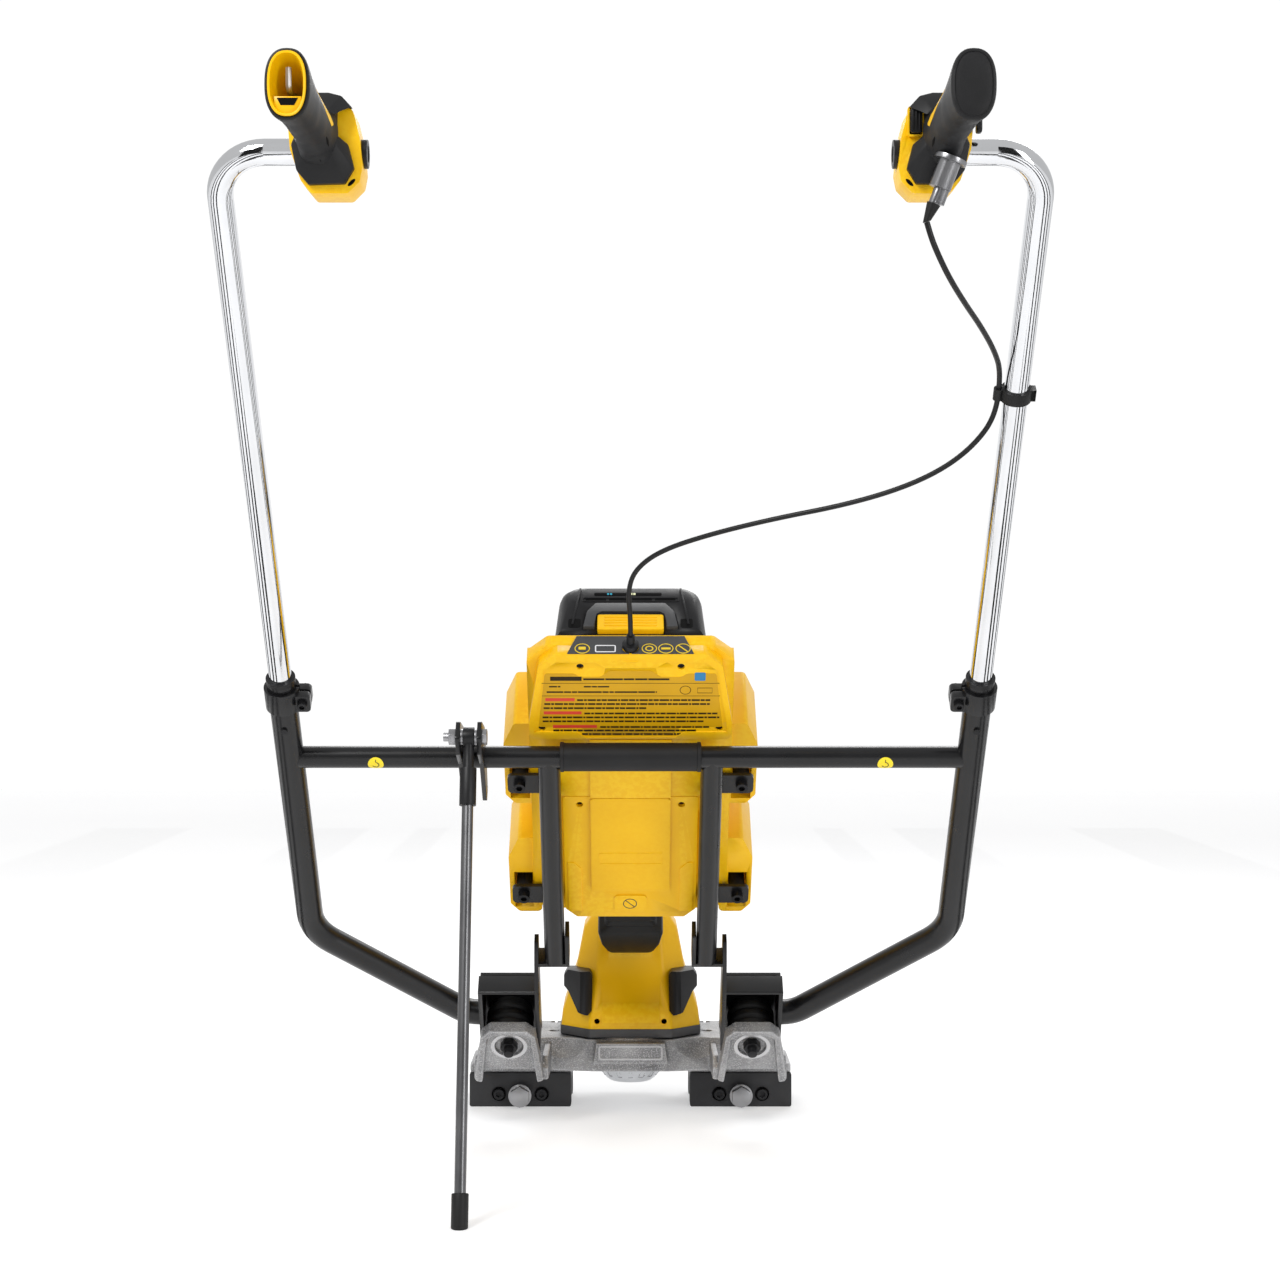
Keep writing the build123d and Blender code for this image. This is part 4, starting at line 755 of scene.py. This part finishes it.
label_rows = [(-61, 91, 687.6), (-98.5, 92, 681.7), (-99.5, 18, 675.5), (-53, 100.5, 667.5),
              (-101, 102, 661.6),
              (-101, 84, 655.6), (-35, 90.5, 646.9), (-89, 76, 641.6), (-56, 58, 636.0)]
label_bars = [bar(-101, 102, 712.4, 712.9), bar(-101, 102, 693.6, 694.1)]
for left, right, v in label_rows:
    label_bars += bars_in_row(left, right, v, 2.5, (7, 3.2, 9.5, 4.6, 6.1, 11, 2.4, 8.3))
label_bars += bars_in_row(-53.5, 44.7, 718.6, 2.6, (24, 20, 12, 14))
label_bars += bars_in_row(-92.5, -79, 707.6, 2.0, (9, 3)) + bars_in_row(-53, -23, 707.6, 2.0, (8, 6, 13))
label_bars += bars_in_row(-95.5, 30, 699.6, 2.2, (19, 8, 6, 27, 7, 5, 26))
label_bars += [bar(-91, -55.4, 716.4, 722.4)]
piece_from("label_print", on_label(label_bars), ink, "root")
piece_from("label_red_bars", on_label([bar(-97.2, -63.7, 686.0, 690.6), bar(-99.5, -56.1, 666.0, 670.6),
                                       bar(-89.4, -38.7, 645.4, 650.0)]), red_ink, "root")
piece_from("label_blue_square", on_label([eased(bar(72.6, 85.0, 716.4, 728.4), 2)]), blue_ink, "root")
piece_from("label_rings",
           together(frame_of(circle(62.4, 702.5, 6.4), 0.7, LABEL_T - 0.2, LABEL_T + INK, lean_point),
                                   frame_of(bar(76, 93, 698, 706), 0.7, LABEL_T - 0.2, LABEL_T + INK,
                                            lean_point)),
           ink, "root")
piece_from("label_cover_ridges", together(*[solid(bar(-9, 9, v, v + 1.2), -31, -29.5, lean_point, 0.3)
                                            for v in (745.2, 748.0)]), yellow, "root")
piece_from("blank_nameplate", frame_of(eased(bar(-38.4, 38.5, 428, 447), 1.5), 1.0, -30, -28.5, lean_point),
           yellow,
           "root")
piece_from("blank_symbol", together(frame_of(circle(-0.6, 358, 8.6), 1.1, -32, -31.38, lean_point),
                                    solid([(-6.6, 363.2), (-5.8, 364.0), (5.4, 352.8), (4.6, 352.0)], -32,
                                          -31.38,
                                          lean_point)), black_ink, "root")


def on_top(x, t, height):
    """A point on the head's top end, height above it in millimetres."""
    return lean_point(x, 757.5 + height, t)


SYMBOL_T = -38.5
symbol_rings = [frame_of(circle(x, SYMBOL_T, 8.6), 1.0, -0.2, INK, on_top) for x in (-54.3, 21.1, 39.7,
                                                                                     59.1)]
symbol_marks = [solid(eased(bar(-58.5, -50.3, SYMBOL_T - 3, SYMBOL_T + 2), 1), -0.2, INK, on_top),
                frame_of(circle(21.1, SYMBOL_T, 4.6), 1.4, -0.2, INK, on_top),
                solid(bar(34.5, 45, SYMBOL_T - 1.6, SYMBOL_T + 1.6), -0.2, INK, on_top),
                solid([(53.5, -43.6), (54.6, -44.6), (64.7, -33.4), (63.6, -32.4)], -0.2, INK, on_top)]
piece_from("symbol_rings", together(*symbol_rings, *symbol_marks), yellow_ink, "root")
piece_from("symbol_battery", frame_of(eased(bar(-40, -16.5, -44.5, -32), 2.5), 1.4, -0.2, INK, on_top),
           white_ink,
           "root")

# ---- motor boot -------------------------------------------------------------------------------
# Moulded rubber sleeve over the motor's leads: three pleats under the head, then a plain
# tapering foot that sits over the motor housing's shoulder.
BOOT_START = lean_point(0, 344, -96)
BOOT_END = in_row(0, -40, 226)
BOOT_SECTIONS = [(0.30, 60, 30), (0.47, 62, 32), (0.50, 68, 36), (0.54, 57, 28), (0.58, 68, 36),
                 (0.62, 57, 28),
                 (0.655, 80, 40), (0.69, 84, 44), (0.84, 76, 45), (0.96, 63, 40), (1.0, 58, 35)]
boot = bmesh.new()
boot_rings = []
boot_along = (BOOT_END - BOOT_START).normalized()
boot_across = Vector((1, 0, 0))
boot_up = boot_along.cross(boot_across)
for share, width, depth in BOOT_SECTIONS:
    middle = BOOT_START.lerp(BOOT_END, share)
    corners = eased(bar(-width / 2, width / 2, -depth / 2, depth / 2), 7)
    boot_rings.append([boot.verts.new(middle + boot_across * a * MM + boot_up * b * MM) for a, b in corners])
for near, far in zip(boot_rings, boot_rings[1:]):
    for index in range(len(near)):
        after = (index + 1) % len(near)
        boot.faces.new((near[index], near[after], far[after], far[index]))
boot.faces.new(reversed(boot_rings[0]))
boot.faces.new(boot_rings[-1])
bmesh.ops.recalc_face_normals(boot, faces=boot.faces)
bmesh.ops.bevel(boot, geom=[edge for edge in boot.edges if is_crease(edge, 30)], offset=1.2 * MM, segments=2,
                profile=0.5, affect="EDGES", clamp_overlap=True)
piece_from("motor_boot_pleated", boot, rubber, "root", ["motor_boot"])

# ---- battery ----------------------------------------------------------------------------------
# A large slide-in pack: black case with a grey arch, a yellow ribbed release, a row of vent slots
# and a small charge display.
cell = textured("cell_sleeve", (0.10, 0.30, 0.52), (0.13, 0.36, 0.60), (0.30, 0.42), 900, 0.00004)
grey_plastic = textured("grey_plastic", (0.045, 0.046, 0.048), (0.060, 0.061, 0.064), (0.40, 0.52), 2200,
                        0.00008,
                        Specular_IOR_Level=0.3)
# Near-black finish: painted shade in the vent slots, corner pockets, grip slit, body slot and shelf pocket,
# and the real black of the display window and the grip seam.
recess_shade_and_black = textured("shadowed_recess", (0.0012, 0.0012, 0.0012), (0.002, 0.002, 0.002), (0.6, 0.7), 1500,
                0.00005,
                Specular_IOR_Level=0.1)
lit_blue = textured("lit_blue", (0.02, 0.30, 0.42), (0.03, 0.36, 0.50), (0.2, 0.3), 1500, 0.00001)
lit_pale = textured("lit_pale", (0.72, 0.74, 0.42), (0.80, 0.82, 0.52), (0.2, 0.3), 1500, 0.00001)
BATTERY_FOOT_V = 560.3
BATTERY_TOP_V = 756.0


def battery_ring(made, v, inset):
    """The pack's outline at one height, drawn in by inset: narrow and round at the front."""
    corners = [(-88, -66), (-82, -162), (82, -162), (88, -66)]
    middle = Vector((0, -114))
    shrunk = []
    for x, t in corners:
        away = Vector((x, t)) - middle
        shrunk.append((x - math.copysign(inset, away.x), t - math.copysign(inset, away.y)))
    outline = [shrunk[0]]
    for corner, nearest, furthest in ((shrunk[1], shrunk[0], shrunk[2]), (shrunk[2], shrunk[1], shrunk[3])):
        corner, before, after = Vector(corner), Vector(nearest), Vector(furthest)
        start = corner + (before - corner).normalized() * 24
        end = corner + (after - corner).normalized() * 24
        for step in range(9):
            share = step / 8
            point = start * (1 - share) ** 2 + corner * 2 * share * (1 - share) + end * share ** 2
            outline.append((point.x, point.y))
    outline.append(shrunk[3])
    return [made.verts.new(lean_point(x, v, t)) for x, t in outline]


def stacked(made, rings):
    """Close a stack of rings into a shell."""
    for near, far in zip(rings, rings[1:]):
        for index in range(len(near)):
            after = (index + 1) % len(near)
            made.faces.new((near[index], near[after], far[after], far[index]))
    made.faces.new(reversed(rings[0]))
    made.faces.new(rings[-1])
    bmesh.ops.recalc_face_normals(made, faces=made.faces)
    return made


case = bmesh.new()
stacked(case, [battery_ring(case, v, inset) for v, inset in
               ((BATTERY_FOOT_V, 2), (BATTERY_FOOT_V + 2, 0), (734, 0), (740, 0.8), (748, 3.2), (753, 7),
                (BATTERY_TOP_V, 12))])
hollow = bmesh.new()
stacked(hollow,
        [battery_ring(hollow, v, inset) for v, inset in ((BATTERY_FOOT_V + 3, 3), (718, 3), (724, 5))])
bmesh.ops.reverse_faces(hollow, faces=hollow.faces)
moulded_case = piece_from("battery_case_moulded", together(case, hollow), black, "battery",
                          ["battery_case"])


def on_battery(x, t, height):
    """A point on the pack's end, height above it in millimetres."""
    return lean_point(x, BATTERY_TOP_V + height, t)


def cut_pocket(piece, shape):
    """Cut a closed shape out of a finished piece."""
    cutter = piece_from("pocket_cutter", shape, black, None)
    cut = piece.modifiers.new("pocket", "BOOLEAN")
    cut.operation = "DIFFERENCE"
    cut.solver = "EXACT"
    cut.object = cutter
    bpy.context.view_layer.update()
    finished = piece.evaluated_get(bpy.context.evaluated_depsgraph_get())
    piece.data = bpy.data.meshes.new_from_object(finished)
    piece.modifiers.clear()
    bpy.data.objects.remove(cutter)


LATCH_POCKET_DEPTH = 27.0
cut_pocket(moulded_case, solid(bar(-38.6, 38.6, -100.2, -71.8), -LATCH_POCKET_DEPTH, 6, on_battery))
arch = [(-54, -76), (-50, -104), (-40, -119), (40, -119), (50, -104), (54, -76), (41, -76), (40, -99),
        (34, -104),
        (-34, -104), (-40, -99), (-41, -76)]
piece_from("battery_latch_surround", solid(arch, -3, 4.2, on_battery, 1.2), grey_plastic, "battery")
slots = [(-52, -28), (-25, -2), (2, 25), (28, 52)]
piece_from("battery_vent_lip", frame_of(eased(bar(-56, 56, -133.5, -125.5), 3.5), 1.2, -1, 0.9, on_battery),
           black,
           "battery")
# The vent slots are flat near-black patches in the lip: painted shade for the openings.
piece_from("battery_vents",
           together(*[solid(eased(bar(left, right, -131.4, -127.6), 1.8), -1, 0.25, on_battery)
                                       for left, right in slots]), recess_shade_and_black, "battery")
piece_from("battery_display", solid(eased(bar(-42, 36, -142.5, -137.2), 1.5), -1, 0.4, on_battery, 0.2),
           recess_shade_and_black,
           "battery")
piece_from("battery_display_blue", together(*[solid(bar(x, x + 2.2, -141.4, -138.2), 0, 0.65, on_battery)
                                              for x in (-27, -23.6)]), lit_blue, "battery")
piece_from("battery_display_charge", together(*[solid(bar(x, x + 2.6, -141.6, -138.0), 0, 0.65, on_battery)
                                                for x in (-4, -0.4,
                                                          3.2)]), lit_pale, "battery")
# The corner pockets are flat near-black patches: painted shade for recesses.
pockets = [solid(eased(bar(side * 64 - 7, side * 64 + 7, -94, -78), 3), -1, 0.3,
                 on_battery) for side in (-1, 1)]
piece_from("battery_corner_pockets", together(*pockets), recess_shade_and_black, "battery")
creases = []
for side in (-1, 1):
    creases.append(solid([(side * 57, -150), (side * 59.4, -150), (side * 67.4, -84), (side * 65, -84)], -1,
                         1.3,
                         on_battery, 0.5))
piece_from("battery_top_ribs", together(*creases), black, "battery")
softened("battery_latch", 1.6, yellow)
coat("battery_cells", cell)

# ---- handles ----------------------------------------------------------------------------------
# Two moulded handles on the tubes' ends. The left grip is open and keeps the hexagon key; the
# right one is closed and carries the speed trigger, the power button and the cable's socket.
amber = textured("amber_liner", (0.78, 0.44, 0.0), (0.85, 0.50, 0.003), (0.24, 0.36), 1500, 0.00004,
                 Specular_IOR_Level=0.35)
HANDLE_V = 1390.0
HANDLE_Y = FRAME_FOOT_Y - HANDLE_V * math.sin(LEAN)
HANDLE_Z = HANDLE_V * math.cos(LEAN)
SHELL_FRONT_Y = HANDLE_Y - 18
GRIP_ROOT_Y = HANDLE_Y - 33
GRIP_LENGTH = 97.0
# Along the grip: distance from its root, middle (x, z), width and height.
GRIP_STATIONS = [(0, 289, 8, 38, 55), (14, 290.5, 10, 34.5, 47), (32, 293, 15, 33.5, 44),
                 (55, 296.5, 21, 34, 47),
                 (76, 299.5, 27.5, 36, 54), (90, 301.6, 31, 39, 62), (GRIP_LENGTH, 302.5, 32, 40.4, 64)]
OVERMOULD = [(280, 50), (268, 47), (258, 36), (272, 39), (273, 11), (262, 2), (256.5, -20), (265, -34),
             (299, -35),
             (310, -22), (315, 2), (311, 11), (318, 22), (312, 40), (300, 50)]


def grip_size(distance):
    """Middle (x, z), width and height of the grip at a distance from its root."""
    for near, far in zip(GRIP_STATIONS, GRIP_STATIONS[1:]):
        if distance <= far[0]:
            break
    share = min(1.0, max(0.0, (distance - near[0]) / (far[0] - near[0])))
    share = share * share * (3 - 2 * share) * 0.5 + share * 0.5
    return [low + (high - low) * share for low, high in zip(near[1:], far[1:])]


def grip_point(side, distance, turn, off=0.0):
    """A point on the grip: turn counts from the machine's middle, off is the height above the surface."""
    x, z, width, height = grip_size(distance)
    inward = (width / 2 + off) * math.copysign(abs(math.cos(turn)) ** 0.82, math.cos(turn))
    upward = (height / 2 + off) * math.copysign(abs(math.sin(turn)) ** 0.82, math.sin(turn))
    return in_row(side * (x - inward), GRIP_ROOT_Y - distance, HANDLE_Z + z + upward)


def grip_shell(side, line, sides=56):
    """Closed shell through (distance, off) rings round the grip."""
    made = bmesh.new()
    rings = [[made.verts.new(grip_point(side, distance, math.tau * step / sides,
                                        off)) for step in range(sides)]
             for distance, off in line]
    return stacked(made, rings)


def grip_patch(side, line, off):
    """Thin patch on the grip, through (distance, turn, half width) in degrees."""
    made = bmesh.new()
    rings = []
    for distance, turn, half in line:
        spread = [math.radians(turn - half + half * 2 * step / 6) for step in range(7)]
        ring = [made.verts.new(grip_point(side, distance, angle, off)) for angle in spread]
        ring += [made.verts.new(grip_point(side, distance, angle, -0.8)) for angle in reversed(spread)]
        rings.append(ring)
    return stacked(made, rings)


def faceted_front(side):
    """Black overmould round the grip's root: a flat rim and a raised, faceted middle."""
    made = bmesh.new()
    rings = []
    for y, scale, rise in ((SHELL_FRONT_Y + 0.5, 1.0, 0), (SHELL_FRONT_Y - 8, 1.0, 0),
                           (GRIP_ROOT_Y - 2, 0.70, 4),
                           (GRIP_ROOT_Y - 7, 0.50, 6)):
        rings.append([made.verts.new(in_row(side * (287 + (x - 287) * scale), y,
                                            HANDLE_Z + 4 + (z - 4) * scale + rise)) for x, z in OVERMOULD])
    stacked(made, rings)
    bmesh.ops.bevel(made, geom=[edge for edge in made.edges if is_crease(edge, 14)], offset=1.1 * MM,
                    segments=2,
                    profile=0.5, affect="EDGES", clamp_overlap=True)
    return made


outer_line = [(step * 3.2, 0) for step in range(31)] + [(99.6, -0.2), (101, -1.0), (101.4, -2.2)]
hollow_line = outer_line + [(100.5, -2.9), (97, -3.2), (80, -3.6), (55, -4.0), (34, -4.5)]
closed_line = outer_line + [(101.2, -3.0), (100.2, -3.6), (100.6, -6), (101.0, -9), (101.2, -14)]
liner_line = [(36, -5.5), (55, -4.6), (80, -4.1), (97, -3.7), (100.8, -3.4), (102.6, -3.0), (103.6, -3.8),
              (103.4, -5.2), (101, -6.0), (96, -6.6), (80, -7.6), (60, -9.0), (44, -10.5)]
for side, name in ((-1, "left"), (1, "right")):
    body = name + "_handle"
    softened(name + "_handle_shell", 2.4, yellow)
    softened(name + "_handle_cap", 1.0, black)
    line = hollow_line if side < 0 else closed_line
    piece_from(name + "_grip_moulded", together(faceted_front(side), grip_shell(side, line)), soft, body,
               [name + "_grip"])
    piece_from(name + "_grip_strip", grip_patch(side, [(12, 12, 2), (18, 14, 11), (34, 26, 9), (50, 40, 6),
                                                       (62, 50, 1.5)], 0.35), yellow, body)
    # The grip slit and the body slot are near-black patches: painted shade; the grip seam is a dark joint.
    piece_from(name + "_grip_slit", grip_patch(side, [(17, -38, 1), (22, -34, 5), (27, -30, 1)], 0.25),
               recess_shade_and_black, body)
    piece_from(name + "_grip_seam",
               grip_patch(side, [(6, -80, 1.0), (6.6, -80, 140), (7.4, -80, 140), (8, -80, 1.0)],
                                               0.15), recess_shade_and_black, body)
    slot = [(side * (259.5 + 4.6 * math.cos(turn) * 0.72 - 1.7 * math.sin(turn) * 0.70),
             -32 - 4.6 * math.cos(turn) * 0.70 - 1.7 * math.sin(turn) * 0.72)
            for turn in (math.tau * step / 20 for step in range(20))]
    piece_from(name + "_body_slot", solid(slot, -0.5, 0.25, lambda x, z, height: in_row(
        x, SHELL_FRONT_Y - height, HANDLE_Z + z)), recess_shade_and_black, body)
piece_from("left_grip_liner_flared", grip_shell(-1, liner_line), amber, "left_handle",
           ["left_grip_liner"])


def in_mouth(x, z, height):
    """A point in the left grip's open end."""
    return in_row(-302.3 + x, GRIP_ROOT_Y - 90 - height, HANDLE_Z + 31 + z)


shelf = [(-12.5, -9.5), (12.5, -9.5), (11.5, -18), (6.5, -25), (-6.5, -25), (-11.5, -18)]
pocket = [(-9.5, -11), (9.5, -11), (6, -17.5), (-6, -17.5)]
piece_from("left_grip_shelf", solid(shelf, 0, 9, in_mouth, 0.8), amber, "left_handle")
# The shelf's pocket is a near-black patch: painted shade for a recess.
piece_from("left_grip_shelf_pocket", solid(pocket, 8.5, 9.3, in_mouth), recess_shade_and_black, "left_handle")
KEY_ROOT_X, KEY_BEND_X, KEY_ROOT, KEY_BEND_START = -296.0, -301.0, 42.0, 86.0
KEY_Z, KEY_TOP_Z, KEY_BEND, KEY_RADIUS = 26.5, 48.0, 7.0, 3.0
key_line = []
for share in (step / 6 for step in range(7)):
    key_line.append(in_row(KEY_ROOT_X + (KEY_BEND_X - KEY_ROOT_X) * share,
                           GRIP_ROOT_Y - KEY_ROOT - (KEY_BEND_START - KEY_ROOT) * share, HANDLE_Z + KEY_Z))
for turn in (math.radians(90 * step / 8) for step in range(1, 9)):
    key_line.append(in_row(KEY_BEND_X - math.sin(turn),
                           GRIP_ROOT_Y - KEY_BEND_START - KEY_BEND * math.sin(turn),
                           HANDLE_Z + KEY_Z + KEY_BEND * (1 - math.cos(turn))))
key_line.append(in_row(KEY_BEND_X - 1, GRIP_ROOT_Y - KEY_BEND_START - KEY_BEND, HANDLE_Z + KEY_TOP_Z))
piece_from("hex_key_bent", tube_along(key_line, KEY_RADIUS * MM, 6), plated, "hex_key",
           ["hex_key"])

# ---- speed trigger and power button -----------------------------------------------------------
# A ribbed thumb trigger in a yellow bezel on the right handle's inner face, and a push button on
# its outer side. Both are moulded nylon and spring back.
TRIGGER_FRONT_Y = SHELL_FRONT_Y - 9


def on_trigger(x, z, height):
    """A point in front of the trigger's face."""
    return in_row(x, TRIGGER_FRONT_Y - height, HANDLE_Z + z)


paddle = solid(eased(bar(259.6, 270.2, 12.5, 35.6), 2.5), -8.3, 0, on_trigger, 1.0)
ribs = [solid(bar(x, x + 1.3, 14.5, 33.5), -0.3, 1.1, on_trigger, 0.4) for x in (261.2, 264.2, 267.2)]
piece_from("speed_trigger_ribbed", together(paddle, *ribs), black, "trigger",
           ["speed_trigger"])
piece_from("trigger_bezel", frame_of(eased(bar(257.2, 272.6, 10.0, 38.0), 3.5), 1.7, -9, -4.2, on_trigger),
           yellow,
           "right_handle")
softened("power_button", 1.4, black)

# ---- cable fittings ---------------------------------------------------------------------------
# The cast plug is screwed under the right handle; a moulded boot and a strap clip hold the lead.
brushed = textured("connector_shell", (0.20, 0.20, 0.21), (0.32, 0.32, 0.33), (0.24, 0.38), 1800, 0.00006,
                   metal=1.0)
softened("plug_body", 0.6, brushed)
softened("cable_boot", 0.5, rubber)
softened("cable_clip", 0.7, rubber)
